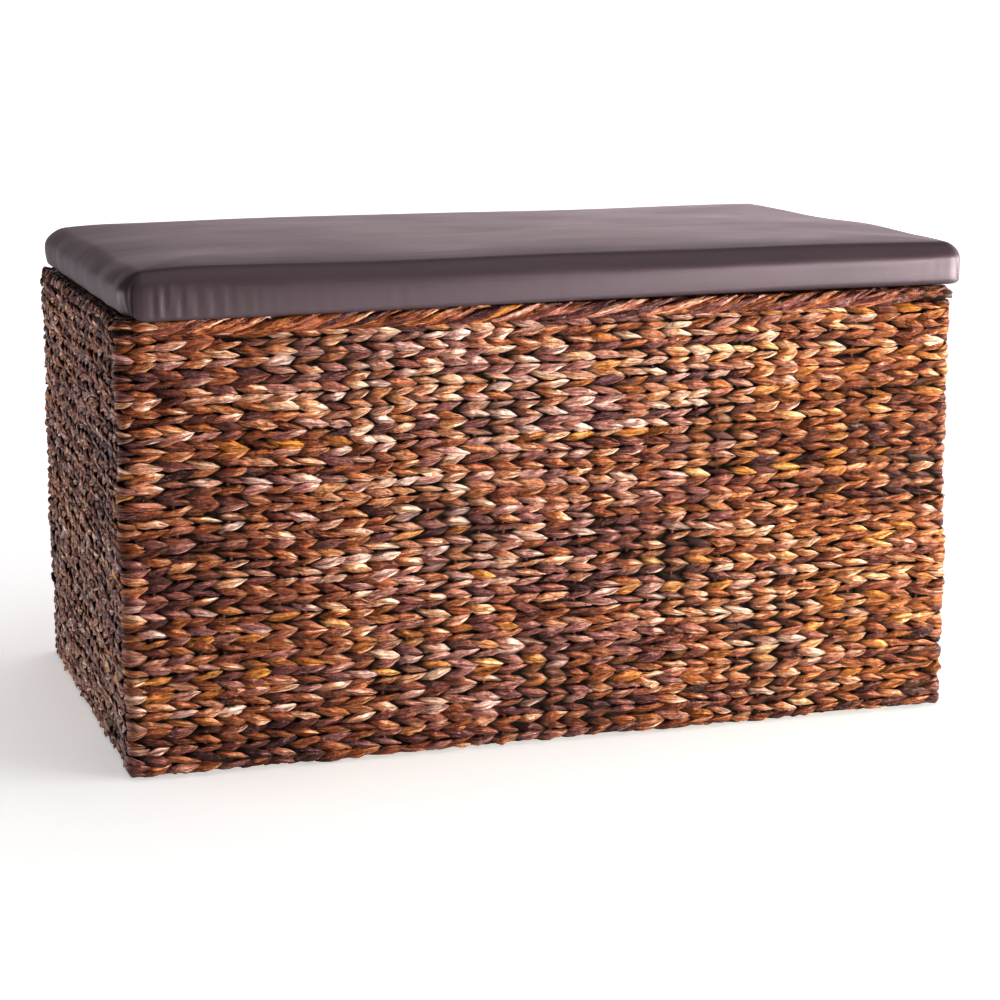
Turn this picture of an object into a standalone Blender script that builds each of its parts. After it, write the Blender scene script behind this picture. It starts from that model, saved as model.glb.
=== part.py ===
"""A woven storage trunk with a hinged, padded lid.

Leaf strands are twined round upright stakes over a light wooden frame. The lid is a board with a
foam pad under a sewn faux-leather cover. It turns on two butt hinges behind the back rim, and two
folding stays stop it a little past upright.

Metres, +Z up. The front faces -Y. The origin is on the floor, under the middle of the whole trunk,
with the lid closed.
"""

import math

import bmesh
import bpy
from mathutils import Matrix, Vector

# Basket
BASKET_WIDTH = 0.895
BASKET_DEPTH = 0.570
RIM_HEIGHT = 0.460
CORNER_RADIUS = 0.015
LEAST_CORNER = 0.002
WEAVE_THICKNESS = 0.012
WEAVE_LOW = 0.004
BORDER_HEIGHT = 0.0137
BORDER_ROUND = 0.006

# Frame and base
STICK = 0.022
STICK_BEVEL = 0.001
FRAME_LOW = 0.0098
PANEL_THICKNESS = 0.006
GLIDE_RADIUS = 0.013
GLIDE_CHAMFER = 0.002

# Lid
LID_SHIFT = 0.012
LID_HEIGHT = 0.054
LID_TOP_ROUND = 0.024
LID_CROWN = 0.007
CROWN_STATIONS = ((0.06, 0.45), (0.13, 0.85), (0.22, 1.0))
LID_CLEARANCE = 0.0018
BOARD_THICKNESS = 0.012
BOARD_INSET = 0.006
COVER_THICKNESS = 0.0012
HEM_WIDTH = 0.030
HEM_ROUND = 0.007
DUST_COVER_THICKNESS = 0.0008
BUMPER_RADIUS = 0.009
BUMPER_CHAMFER = 0.0004
FOAM_EDGE_ROUND = 0.002

# Butt hinges
HINGE_SPACING = 0.560
HINGE_LENGTH = 0.060
LEAF_DEPTH = 0.028
LEAF_THICKNESS = 0.0015
KNUCKLE_RADIUS = 0.0032
KNUCKLE_OUT = 0.0045
MIDDLE_KNUCKLE = 0.022
PIN_RADIUS = 0.0015
PIN_HEAD_RADIUS = 0.0026
PIN_HEAD = 0.001
HINGE_SCREW_SPACING = 0.036
HINGE_SCREW_IN = 0.016

# Folding stays: hinge, trunk pivot, elbow and lid pivot stay the corners of a parallelogram
TRUNK_PIVOT = Vector((0, -0.062, -0.062))
LID_PIVOT = Vector((0, -0.170, -0.0135))
ARM_WIDTH = 0.016
ARM_THICKNESS = 0.002
LAYER_GAP = 0.0005
STUD_RADIUS = 0.0024
STUD_HEAD_RADIUS = 0.0042
STUD_HEAD = 0.001
PLATE_WIDTH = 0.024
PLATE_SCREW_OFFSET = 0.006
BRACKET_LENGTH = 0.034
FLANGE_WIDTH = 0.020
FLANGE_SCREW_IN = 0.012
FLANGE_SCREW_OFFSET = 0.010

# Countersunk screws
SCREW_HEAD_RADIUS = 0.0030
SCREW_HEAD = 0.0013
SHANK_RADIUS = 0.0016
SCREW_POINT = 0.003
LONG_SCREW = 0.022
SHORT_SCREW = 0.0125

GAP = 0.0003
ROUND_STEPS = 16
SCREW_STEPS = 12
CORNER_STEPS = 3
CUTTER_OVERRUN = 0.004

# Places that follow from the sizes above, measured from the middle of the basket
HALF_W = BASKET_WIDTH / 2
HALF_D = BASKET_DEPTH / 2
WEAVE_TOP = RIM_HEIGHT - BORDER_HEIGHT - GAP
FRAME_OUT = WEAVE_THICKNESS + GAP
FRAME_IN = FRAME_OUT + STICK
BORDER_WIDTH = FRAME_IN + GAP
FRAME_TOP = WEAVE_TOP
PANEL_LOW = FRAME_LOW + STICK + GAP
HINGE_AXIS = Vector((0, HALF_D + KNUCKLE_OUT, RIM_HEIGHT - GAP / 2))
TRUNK_LEAF_LOW = RIM_HEIGHT - GAP - LEAF_THICKNESS
LID_LOW = RIM_HEIGHT + LID_CLEARANCE
LID_TOP = RIM_HEIGHT + LID_HEIGHT
BOARD_LOW = LID_LOW + COVER_THICKNESS + GAP
BOARD_TOP = BOARD_LOW + BOARD_THICKNESS
PLATE_IN = BORDER_WIDTH
LOWER_IN = PLATE_IN + ARM_THICKNESS + LAYER_GAP
UPPER_IN = LOWER_IN + ARM_THICKNESS + LAYER_GAP
EAR_IN = UPPER_IN + ARM_THICKNESS + LAYER_GAP
HINGE_BACK_REACH = KNUCKLE_OUT + KNUCKLE_RADIUS
TRUNK_AT = Vector((-LID_SHIFT / 2, -HINGE_BACK_REACH / 2, 0))

COLOURS = {
    "woven_leaf": ((0.30, 0.155, 0.085), 0.55, 0.0),
    "frame_wood": ((0.50, 0.36, 0.22), 0.70, 0.0),
    "faux_leather": ((0.060, 0.040, 0.040), 0.38, 0.0),
    "foam": ((0.80, 0.76, 0.62), 0.95, 0.0),
    "dust_cloth": ((0.030, 0.030, 0.032), 0.95, 0.0),
    "steel": ((0.62, 0.61, 0.58), 0.35, 1.0),
    "black_plastic": ((0.020, 0.020, 0.020), 0.50, 0.0),
    "rubber": ((0.050, 0.045, 0.045), 0.80, 0.0),
}


def clear_scene():
    for obj in list(bpy.data.objects):
        bpy.data.objects.remove(obj, do_unlink=True)


def make_materials():
    for name, (colour, roughness, metallic) in COLOURS.items():
        material = bpy.data.materials.new(name)
        material.use_nodes = True
        shader = material.node_tree.nodes["Principled BSDF"]
        shader.inputs["Base Color"].default_value = (*colour, 1)
        shader.inputs["Roughness"].default_value = roughness
        shader.inputs["Metallic"].default_value = metallic


# Outlines and solids ---------------------------------------------------------------------------


def rounded_rectangle(half_x, half_y, radius, centre_x=0.0):
    """Points counter-clockwise round a rectangle whose corners are arcs of this radius."""
    points = []
    for quarter, (sx, sy) in enumerate(((1, 1), (-1, 1), (-1, -1), (1, -1))):
        for step in range(CORNER_STEPS + 1):
            angle = (quarter + step / CORNER_STEPS) * math.pi / 2
            x = sx * (half_x - radius) + radius * math.cos(angle)
            y = sy * (half_y - radius) + radius * math.sin(angle)
            points.append((centre_x + x, y))
    return points


def stadium(start, end, radius):
    """A bar outline with round ends about two points."""
    start, end = Vector(start), Vector(end)
    along = (end - start).normalized()
    across = Vector((-along.y, along.x))
    points = []
    for centre, turn in ((end, -math.pi / 2), (start, math.pi / 2)):
        for step in range(ROUND_STEPS // 2 + 1):
            angle = turn + math.pi * step / (ROUND_STEPS // 2)
            points.append(centre + radius * (math.cos(angle) * along + math.sin(angle) * across))
    return points


def loft(rings, close_loop=False):
    """A closed mesh through rings of equal length, joined end to end or with both ends capped."""
    bm = bmesh.new()
    loops = [[bm.verts.new(point) for point in ring] for ring in rings]
    pairs = list(zip(loops, loops[1:]))
    if close_loop:
        pairs.append((loops[-1], loops[0]))
    else:
        bm.faces.new(loops[0])
        bm.faces.new(loops[-1])
    for first, second in pairs:
        for i in range(len(first)):
            j = (i + 1) % len(first)
            bm.faces.new((first[i], first[j], second[j], second[i]))
    bmesh.ops.recalc_face_normals(bm, faces=bm.faces)
    return bm


def prism(outline, axis, low, high):
    """An outline pushed along X, from points in (y, z), or along Z, from points in (x, y)."""
    if axis == "x":
        return loft([[(level, a, b) for a, b in outline] for level in (low, high)])
    return loft([[(a, b, level) for a, b in outline] for level in (low, high)])


def box(low, high):
    (x0, y0, z0), (x1, y1, z1) = low, high
    return prism([(x0, y0), (x1, y0), (x1, y1), (x0, y1)], "z", min(z0, z1), max(z0, z1))


def turned(profile, start, direction, steps=ROUND_STEPS):
    """A solid of revolution: profile holds (radius, distance along direction from start)."""
    turn = Vector((0, 0, 1)).rotation_difference(Vector(direction)).to_matrix()
    rings = []
    for radius, distance in profile:
        ring = []
        for step in range(steps):
            angle = 2 * math.pi * step / steps
            local = Vector((radius * math.cos(angle), radius * math.sin(angle), distance))
            ring.append(Vector(start) + turn @ local)
        rings.append(ring)
    return loft(rings)


def outline_inside(inset, centre_x=0.0):
    """The trunk's plan, this far inside its outer face."""
    radius = max(CORNER_RADIUS - inset, LEAST_CORNER)
    return rounded_rectangle(HALF_W - inset, HALF_D - inset, radius, centre_x)


def lid_outline(inset):
    return outline_inside(inset, LID_SHIFT)


def wall_round_basket(profile):
    """A ring round the trunk. profile holds (distance inside the outer face, height)."""
    rings = [[(x, y, height) for x, y in outline_inside(inset)] for inset, height in profile]
    return loft(rings, close_loop=True)


# Objects ---------------------------------------------------------------------------------------


class Pivot:
    """An empty on a joint's axis. at is measured from the middle of the basket."""

    def __init__(self, name, at, parent=None):
        self.at = Vector(at)
        self.empty = bpy.data.objects.new(name, None)
        bpy.context.scene.collection.objects.link(self.empty)
        if parent is None:
            self.empty.location = TRUNK_AT + self.at
        else:
            self.empty.parent = parent.empty
            self.empty.location = self.at - parent.at


def add(name, bm, slot, pivot, sharp_angle=40.0):
    """A named object that hangs on a pivot's empty, with its origin there."""
    bmesh.ops.translate(bm, verts=bm.verts, vec=-pivot.at)
    mesh = bpy.data.meshes.new(name)
    bm.to_mesh(mesh)
    bm.free()
    mesh.shade_smooth()
    mesh.set_sharp_from_angle(angle=math.radians(sharp_angle))
    obj = bpy.data.objects.new(name, mesh)
    bpy.context.scene.collection.objects.link(obj)
    obj.parent = pivot.empty
    if slot:
        mesh.materials.append(bpy.data.materials[slot])
    return obj


def helper(name, shapes, pivot):
    """One hidden object from several shapes, for a Boolean."""
    joined = bmesh.new()
    for shape in shapes:
        scrap = bpy.data.meshes.new("scrap")
        shape.to_mesh(scrap)
        shape.free()
        joined.from_mesh(scrap)
        bpy.data.meshes.remove(scrap)
    obj = add(name, joined, None, pivot)
    obj.hide_render = True
    obj.display_type = "WIRE"
    return obj


def boolean(obj, operation, other):
    modifier = obj.modifiers.new(f"{operation.lower()}_{other.name}", "BOOLEAN")
    modifier.operation = operation
    modifier.solver = "EXACT"
    modifier.object = other


def bevel(obj, width):
    modifier = obj.modifiers.new("bevel", "BEVEL")
    modifier.width = width
    modifier.segments = 1
    modifier.limit_method = "ANGLE"


# Screws ----------------------------------------------------------------------------------------


def screw(start, direction, length):
    profile = (
        (SCREW_HEAD_RADIUS, 0),
        (SHANK_RADIUS, SCREW_HEAD),
        (SHANK_RADIUS, length - SCREW_POINT),
        (SHANK_RADIUS / 3, length),
    )
    return turned(profile, start, direction, SCREW_STEPS)


def screw_hole(start, direction, length):
    """The countersunk hole that the screw sits in, with running room all round."""
    slope = (SCREW_HEAD_RADIUS - SHANK_RADIUS) / SCREW_HEAD
    mouth = SCREW_HEAD_RADIUS + GAP + slope * GAP
    hole = SHANK_RADIUS + GAP
    profile = (
        (mouth, -CUTTER_OVERRUN),
        (mouth, 0),
        (hole, SCREW_HEAD + GAP),
        (hole, length + 2 * GAP),
    )
    return turned(profile, start, direction, SCREW_STEPS)


# The trunk -------------------------------------------------------------------------------------


def build_weave(trunk):
    wall = (
        (0, WEAVE_LOW),
        (0, WEAVE_TOP),
        (WEAVE_THICKNESS, WEAVE_TOP),
        (WEAVE_THICKNESS, WEAVE_LOW),
    )
    add("woven_shell", wall_round_basket(wall), "woven_leaf", trunk)

    low = WEAVE_TOP + GAP
    border = [(0, low)]
    for centre, first in ((BORDER_ROUND, math.pi), (BORDER_WIDTH - BORDER_ROUND, math.pi / 2)):
        for step in range(CORNER_STEPS + 1):
            angle = first - step * math.pi / 2 / CORNER_STEPS
            height = RIM_HEIGHT - BORDER_ROUND + BORDER_ROUND * math.sin(angle)
            border.append((centre + BORDER_ROUND * math.cos(angle), height))
    border.append((BORDER_WIDTH, low))
    return add("rim_border", wall_round_basket(border), "woven_leaf", trunk)


def build_frame(trunk):
    """Four posts with a rail between each pair, top and bottom."""
    outer_x, outer_y = HALF_W - FRAME_OUT, HALF_D - FRAME_OUT
    inner_x, inner_y = HALF_W - FRAME_IN, HALF_D - FRAME_IN
    arc = CORNER_RADIUS - FRAME_OUT
    members = {}
    for side_x, x_word in ((-1, "left"), (1, "right")):
        for side_y, y_word in ((-1, "front"), (1, "back")):
            corner = [(inner_x, inner_y), (outer_x, inner_y)]
            for step in range(CORNER_STEPS + 1):
                angle = step * math.pi / 2 / CORNER_STEPS
                x = outer_x - arc * (1 - math.cos(angle))
                y = outer_y - arc * (1 - math.sin(angle))
                corner.append((x, y))
            corner.append((inner_x, outer_y))
            outline = [(side_x * x, side_y * y) for x, y in corner]
            name = f"corner_post_{y_word}_{x_word}"
            members[name] = add(name, prism(outline, "z", FRAME_LOW, FRAME_TOP), "frame_wood", trunk)

    for level, low in (("top", FRAME_TOP - STICK), ("bottom", FRAME_LOW)):
        high = low + STICK
        for side, word in ((-1, "front"), (1, "back")):
            ends = sorted((side * inner_y, side * outer_y))
            shape = box((-inner_x + GAP, ends[0], low), (inner_x - GAP, ends[1], high))
            members[f"{level}_rail_{word}"] = add(f"{level}_rail_{word}", shape, "frame_wood", trunk)
        for side, word in ((-1, "left"), (1, "right")):
            ends = sorted((side * inner_x, side * outer_x))
            shape = box((ends[0], -inner_y + GAP, low), (ends[1], inner_y - GAP, high))
            members[f"{level}_rail_{word}"] = add(f"{level}_rail_{word}", shape, "frame_wood", trunk)

    half = STICK / 2
    shape = box((-half, -inner_y + GAP, FRAME_LOW), (half, inner_y - GAP, FRAME_LOW + STICK))
    members["base_bearer"] = add("base_bearer", shape, "frame_wood", trunk)
    for member in members.values():
        bevel(member, STICK_BEVEL)
    return members


def build_base(trunk):
    """A thin panel on the bottom rails, notched round the posts, and a glide under each post."""
    edge_x, edge_y = HALF_W - FRAME_OUT, HALF_D - FRAME_OUT
    notch_x, notch_y = HALF_W - FRAME_IN - GAP, HALF_D - FRAME_IN - GAP
    corner = [(edge_x, notch_y), (notch_x, notch_y), (notch_x, edge_y)]
    outline = []
    for sx, sy in ((1, 1), (-1, 1), (-1, -1), (1, -1)):
        points = [(sx * x, sy * y) for x, y in corner]
        outline += points if sx * sy > 0 else points[::-1]
    panel = prism(outline, "z", PANEL_LOW, PANEL_LOW + PANEL_THICKNESS)
    add("base_panel", panel, "frame_wood", trunk)

    top = FRAME_LOW - GAP
    profile = (
        (GLIDE_RADIUS - GLIDE_CHAMFER, 0),
        (GLIDE_RADIUS, GLIDE_CHAMFER),
        (GLIDE_RADIUS, top),
    )
    in_from_face = WEAVE_THICKNESS + GAP + GLIDE_RADIUS
    for side_x, x_word in ((-1, "left"), (1, "right")):
        for side_y, y_word in ((-1, "front"), (1, "back")):
            at = (side_x * (HALF_W - in_from_face), side_y * (HALF_D - in_from_face), 0)
            glide = turned(profile, at, (0, 0, 1))
            add(f"glide_{y_word}_{x_word}", glide, "black_plastic", trunk)


# The lid ---------------------------------------------------------------------------------------


def pillow_profile(inset, low, round_low, top_drop):
    """(inset, height) up one side of the lid and in over its crowned top."""
    top = LID_TOP - LID_CROWN - top_drop
    top_round = LID_TOP_ROUND - inset
    points = [(inset + round_low, low)]
    for step in range(1, CORNER_STEPS + 1):
        angle = step * math.pi / 2 / CORNER_STEPS
        across = round_low * (1 - math.sin(angle))
        points.append((inset + across, low + round_low * (1 - math.cos(angle))))
    for step in range(CORNER_STEPS + 1):
        angle = step * math.pi / 2 / CORNER_STEPS
        across = top_round * (1 - math.cos(angle))
        points.append((inset + across, top - top_round * (1 - math.sin(angle))))
    for reach, rise in CROWN_STATIONS:
        points.append((reach, top + rise * LID_CROWN))
    return points


def build_lid(lid):
    hem_top = LID_LOW + COVER_THICKNESS
    outside = [(HEM_WIDTH, LID_LOW)]
    outside += pillow_profile(0, LID_LOW, HEM_ROUND, 0)
    inside = [(HEM_WIDTH, hem_top)]
    inside += pillow_profile(COVER_THICKNESS, hem_top, HEM_ROUND - COVER_THICKNESS, COVER_THICKNESS)
    parts = {"lid_cover": add("lid_cover", cup(outside, inside), "faux_leather", lid)}

    outline = lid_outline(BOARD_INSET)
    parts["lid_board"] = add("lid_board", prism(outline, "z", BOARD_LOW, BOARD_TOP), "frame_wood", lid)

    skin = COVER_THICKNESS + GAP
    foam_profile = pillow_profile(skin, BOARD_TOP + GAP, FOAM_EDGE_ROUND, skin)
    foam = loft([[(x, y, height) for x, y in lid_outline(inset)] for inset, height in foam_profile])
    add("lid_foam", foam, "foam", lid)

    outline = lid_outline(HEM_WIDTH + GAP)
    low = LID_LOW + (COVER_THICKNESS - DUST_COVER_THICKNESS) / 2
    dust = prism(outline, "z", low, low + DUST_COVER_THICKNESS)
    parts["lid_dust_cover"] = add("lid_dust_cover", dust, "dust_cloth", lid)

    profile = (
        (BUMPER_RADIUS - BUMPER_CHAMFER, RIM_HEIGHT + GAP),
        (BUMPER_RADIUS, RIM_HEIGHT + GAP + BUMPER_CHAMFER),
        (BUMPER_RADIUS, LID_LOW - GAP),
    )
    for side, word in ((-1, "left"), (1, "right")):
        at = (side * (HALF_W - BORDER_WIDTH / 2), -(HALF_D - BORDER_WIDTH / 2), 0)
        add(f"lid_bumper_{word}", turned(profile, at, (0, 0, 1)), "rubber", lid)
    return parts


def cup(outside, inside):
    """A thin shell, closed on top and open in the middle of its underside."""
    bm = bmesh.new()
    sides = []
    for profile in (outside, inside):
        loops = []
        for inset, height in profile:
            loops.append([bm.verts.new((x, y, height)) for x, y in lid_outline(inset)])
        bm.faces.new(loops[-1])
        sides.append(loops)
    joined = [*zip(sides[0], sides[0][1:]), *zip(sides[1], sides[1][1:]), (sides[0][0], sides[1][0])]
    for first, second in joined:
        for i in range(len(first)):
            j = (i + 1) % len(first)
            bm.faces.new((first[i], first[j], second[j], second[i]))
    bmesh.ops.recalc_face_normals(bm, faces=bm.faces)
    return bm


# Hinges ----------------------------------------------------------------------------------------


def knuckle(x_low, x_high):
    profile = ((KNUCKLE_RADIUS, 0), (KNUCKLE_RADIUS, x_high - x_low))
    return turned(profile, (x_low, HINGE_AXIS.y, HINGE_AXIS.z), (1, 0, 0))


def build_hinge(word, centre_x, trunk, lid):
    """Two leaves, a pin and four screws. Returns the shapes that cut the pieces they pass through."""
    half, middle = HINGE_LENGTH / 2, MIDDLE_KNUCKLE / 2
    front = HALF_D - LEAF_DEPTH
    clear = HINGE_AXIS.y - KNUCKLE_RADIUS - 0.001
    pin_length = HINGE_LENGTH + 2 * GAP
    bore = turned(
        ((PIN_RADIUS + GAP, 0), (PIN_RADIUS + GAP, pin_length + 2 * CUTTER_OVERRUN)),
        (centre_x - pin_length / 2 - CUTTER_OVERRUN, HINGE_AXIS.y, HINGE_AXIS.z),
        (1, 0, 0),
    )
    leaves = (
        ("trunk", trunk, TRUNK_LEAF_LOW, ((-half, -middle - 2 * GAP), (middle + 2 * GAP, half)), -1),
        ("lid", lid, TRUNK_LEAF_LOW + LEAF_THICKNESS + GAP, ((-middle, middle),), 1),
    )
    cutters = {}
    for owner, pivot, low, spans, up in leaves:
        high = low + LEAF_THICKNESS
        plate = box((centre_x - half, front, low), (centre_x + half, clear, high))
        leaf = add(f"hinge_{owner}_leaf_{word}", plate, "steel", pivot)
        rolls = []
        for span_low, span_high in spans:
            x_low, x_high = centre_x + span_low, centre_x + span_high
            rolls.append(knuckle(x_low, x_high))
            tab = box((x_low, clear - 0.001, low), (x_high, HINGE_AXIS.y, high))
            boolean(leaf, "UNION", helper(f"tab_{leaf.name}_{len(rolls)}", [tab], pivot))
        boolean(leaf, "UNION", helper(f"rolls_{leaf.name}", rolls, pivot))
        boolean(leaf, "DIFFERENCE", helper(f"bore_{leaf.name}", [bore.copy()], pivot))

        start_z = high if up < 0 else low
        length = LONG_SCREW if up < 0 else SHORT_SCREW
        holes = []
        for side, side_word in ((-1, "a"), (1, "b")):
            start = (centre_x + side * HINGE_SCREW_SPACING / 2, HALF_D - HINGE_SCREW_IN, start_z)
            add(f"hinge_{owner}_screw_{word}_{side_word}", screw(start, (0, 0, up), length), "steel", pivot)
            holes.append(screw_hole(start, (0, 0, up), length))
        cutters[owner] = helper(f"holes_{leaf.name}", holes, pivot)
        boolean(leaf, "DIFFERENCE", cutters[owner])
    bore.free()

    profile = (
        (PIN_HEAD_RADIUS, -PIN_HEAD),
        (PIN_HEAD_RADIUS, 0),
        (PIN_RADIUS, 0),
        (PIN_RADIUS, pin_length),
        (PIN_HEAD_RADIUS, pin_length),
        (PIN_HEAD_RADIUS, pin_length + PIN_HEAD),
    )
    at = (centre_x - pin_length / 2, HINGE_AXIS.y, HINGE_AXIS.z)
    add(f"hinge_pin_{word}", turned(profile, at, (1, 0, 0)), "steel", trunk)

    mortise = box(
        (centre_x - half - 2 * GAP, front - 2 * GAP, TRUNK_LEAF_LOW - GAP),
        (centre_x + half + 2 * GAP, HALF_D + CUTTER_OVERRUN, RIM_HEIGHT + CUTTER_OVERRUN),
    )
    cutters["mortise"] = helper(f"mortise_{word}", [mortise], trunk)
    return cutters


# Folding stays ---------------------------------------------------------------------------------


def stud(x_from, x_to, centre):
    """A pin from one layer to another along X, with a head on its far end."""
    way = 1 if x_to > x_from else -1
    reach = abs(x_to - x_from)
    profile = (
        (STUD_RADIUS, 0),
        (STUD_RADIUS, reach),
        (STUD_HEAD_RADIUS, reach),
        (STUD_HEAD_RADIUS, reach + STUD_HEAD),
    )
    return turned(profile, (x_from, centre.y, centre.z), (way, 0, 0))


def build_stay(word, side, trunk, lid):
    """Trunk plate, two arms, elbow rivet and lid bracket on one side."""
    a, b = HINGE_AXIS + TRUNK_PIVOT, HINGE_AXIS + LID_PIVOT
    e = a + LID_PIVOT

    def layer(distance_in):
        return side * (HALF_W - distance_in)

    def slab(outline, distance_in):
        ends = sorted((layer(distance_in), layer(distance_in + ARM_THICKNESS)))
        return prism(outline, "x", *ends)

    lower = Pivot(f"stay_lower_axis_{word}", a, trunk)
    upper = Pivot(f"stay_upper_axis_{word}", e, lower)

    # The plate hangs from the side rail, and carries a headed stud for the lower arm.
    half = PLATE_WIDTH / 2
    top = FRAME_TOP - GAP
    outline = [(a.y - half, top), (a.y - half, a.z)]
    for step in range(1, ROUND_STEPS // 2):
        angle = math.pi + step * math.pi / (ROUND_STEPS // 2)
        outline.append((a.y + half * math.cos(angle), a.z + half * math.sin(angle)))
    outline += [(a.y + half, a.z), (a.y + half, top)]
    plate = add(f"stay_trunk_plate_{word}", slab(outline, PLATE_IN), "steel", trunk)
    inner = PLATE_IN + ARM_THICKNESS
    post = stud(layer(inner - ARM_THICKNESS / 2), layer(LOWER_IN + ARM_THICKNESS + GAP), a)
    boolean(plate, "UNION", helper(f"stud_{plate.name}", [post], trunk))
    holes = []
    for offset, side_word in ((-PLATE_SCREW_OFFSET, "a"), (PLATE_SCREW_OFFSET, "b")):
        start = (layer(inner), a.y + offset, FRAME_TOP - STICK / 2)
        add(f"stay_trunk_screw_{word}_{side_word}", screw(start, (side, 0, 0), SHORT_SCREW), "steel", trunk)
        holes.append(screw_hole(start, (side, 0, 0), SHORT_SCREW))
    plate_holes = helper(f"holes_{plate.name}", holes, trunk)
    boolean(plate, "DIFFERENCE", plate_holes)

    def pivot_hole(centre, distance_in):
        start = (layer(distance_in) + side * CUTTER_OVERRUN, centre.y, centre.z)
        reach = ARM_THICKNESS + 2 * CUTTER_OVERRUN
        profile = ((STUD_RADIUS + GAP, 0), (STUD_RADIUS + GAP, reach))
        return turned(profile, start, (-side, 0, 0))

    arms = (("lower", lower, a, e, LOWER_IN), ("upper", upper, e, b, UPPER_IN))
    for name, pivot, start, end, distance_in in arms:
        outline = stadium((start.y, start.z), (end.y, end.z), ARM_WIDTH / 2)
        arm = add(f"stay_{name}_arm_{word}", slab(outline, distance_in), "steel", pivot)
        holes = [pivot_hole(centre, distance_in) for centre in (start, end)]
        boolean(arm, "DIFFERENCE", helper(f"holes_{arm.name}", holes, pivot))

    near, far = LOWER_IN - GAP, UPPER_IN + ARM_THICKNESS + GAP
    length = far - near
    profile = (
        (STUD_HEAD_RADIUS, -STUD_HEAD),
        (STUD_HEAD_RADIUS, 0),
        (STUD_RADIUS, 0),
        (STUD_RADIUS, length),
        (STUD_HEAD_RADIUS, length),
        (STUD_HEAD_RADIUS, length + STUD_HEAD),
    )
    rivet = turned(profile, (layer(near), e.y, e.z), (-side, 0, 0))
    add(f"stay_elbow_rivet_{word}", rivet, "steel", lower)

    # The bracket's ear hangs below its flange, and its headed stud points outwards.
    flange_top = LID_LOW - GAP
    flange_low = flange_top - LEAF_THICKNESS
    half = ARM_WIDTH / 2
    outline = [(b.y - half, flange_top), (b.y - half, b.z)]
    for step in range(1, ROUND_STEPS // 2):
        angle = math.pi + step * math.pi / (ROUND_STEPS // 2)
        outline.append((b.y + half * math.cos(angle), b.z + half * math.sin(angle)))
    outline += [(b.y + half, b.z), (b.y + half, flange_top)]
    ear = add(f"stay_lid_bracket_{word}", slab(outline, EAR_IN), "steel", lid)
    ends = sorted((layer(EAR_IN), layer(EAR_IN + FLANGE_WIDTH)))
    flange = box(
        (ends[0], b.y - BRACKET_LENGTH / 2, flange_low),
        (ends[1], b.y + BRACKET_LENGTH / 2, flange_top),
    )
    boolean(ear, "UNION", helper(f"flange_{ear.name}", [flange], lid))
    post = stud(layer(EAR_IN + ARM_THICKNESS / 2), layer(UPPER_IN - GAP), b)
    boolean(ear, "UNION", helper(f"stud_{ear.name}", [post], lid))
    holes = []
    for offset, side_word in ((-FLANGE_SCREW_OFFSET, "a"), (FLANGE_SCREW_OFFSET, "b")):
        start = (layer(EAR_IN + FLANGE_SCREW_IN), b.y + offset, flange_low)
        add(f"stay_lid_screw_{word}_{side_word}", screw(start, (0, 0, 1), SHORT_SCREW), "steel", lid)
        holes.append(screw_hole(start, (0, 0, 1), SHORT_SCREW))
    lid_holes = helper(f"holes_{ear.name}", holes, lid)
    boolean(ear, "DIFFERENCE", lid_holes)
    return plate_holes, lid_holes


# Assembly --------------------------------------------------------------------------------------


def main():
    clear_scene()
    make_materials()
    trunk = Pivot("trunk", (0, 0, 0))
    lid = Pivot("lid_hinge_axis", HINGE_AXIS, trunk)

    border = build_weave(trunk)
    members = build_frame(trunk)
    build_base(trunk)
    lid_parts = build_lid(lid)

    for side, word in ((-1, "left"), (1, "right")):
        cutters = build_hinge(word, side * HINGE_SPACING / 2, trunk, lid)
        boolean(border, "DIFFERENCE", cutters["mortise"])
        boolean(border, "DIFFERENCE", cutters["trunk"])
        boolean(members["top_rail_back"], "DIFFERENCE", cutters["trunk"])
        boolean(lid_parts["lid_cover"], "DIFFERENCE", cutters["lid"])
        boolean(lid_parts["lid_board"], "DIFFERENCE", cutters["lid"])

        plate_holes, lid_holes = build_stay(word, side, trunk, lid)
        boolean(members[f"top_rail_{word}"], "DIFFERENCE", plate_holes)
        boolean(lid_parts["lid_dust_cover"], "DIFFERENCE", lid_holes)
        boolean(lid_parts["lid_board"], "DIFFERENCE", lid_holes)


main()
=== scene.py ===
import math

import bpy
import numpy as np
from mathutils import Matrix, Vector
from mathutils.kdtree import KDTree


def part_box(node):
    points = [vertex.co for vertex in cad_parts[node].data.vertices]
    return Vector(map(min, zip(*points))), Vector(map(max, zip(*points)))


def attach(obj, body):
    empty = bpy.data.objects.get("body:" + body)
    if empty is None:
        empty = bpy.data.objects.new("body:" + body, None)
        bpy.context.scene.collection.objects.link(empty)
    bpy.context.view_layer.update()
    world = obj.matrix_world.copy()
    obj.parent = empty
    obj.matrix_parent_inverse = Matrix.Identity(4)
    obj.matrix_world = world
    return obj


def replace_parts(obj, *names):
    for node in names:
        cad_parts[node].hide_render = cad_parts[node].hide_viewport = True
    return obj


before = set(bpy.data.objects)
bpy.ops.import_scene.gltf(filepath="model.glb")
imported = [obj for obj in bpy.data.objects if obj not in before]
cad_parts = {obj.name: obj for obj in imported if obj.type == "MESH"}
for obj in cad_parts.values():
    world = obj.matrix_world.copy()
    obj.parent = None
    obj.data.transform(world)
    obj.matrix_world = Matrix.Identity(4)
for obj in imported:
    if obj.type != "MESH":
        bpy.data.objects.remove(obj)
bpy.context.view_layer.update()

# Sizes in metres. Places come from the CAD nodes' boxes.
SHELL_LOW, SHELL_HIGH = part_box("woven_shell")
RIM_LOW, RIM_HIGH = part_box("rim_border")
LID_LOW, LID_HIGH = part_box("lid_cover")
MID_X, MID_Y = (SHELL_LOW.x + SHELL_HIGH.x) / 2, (SHELL_LOW.y + SHELL_HIGH.y) / 2
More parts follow.
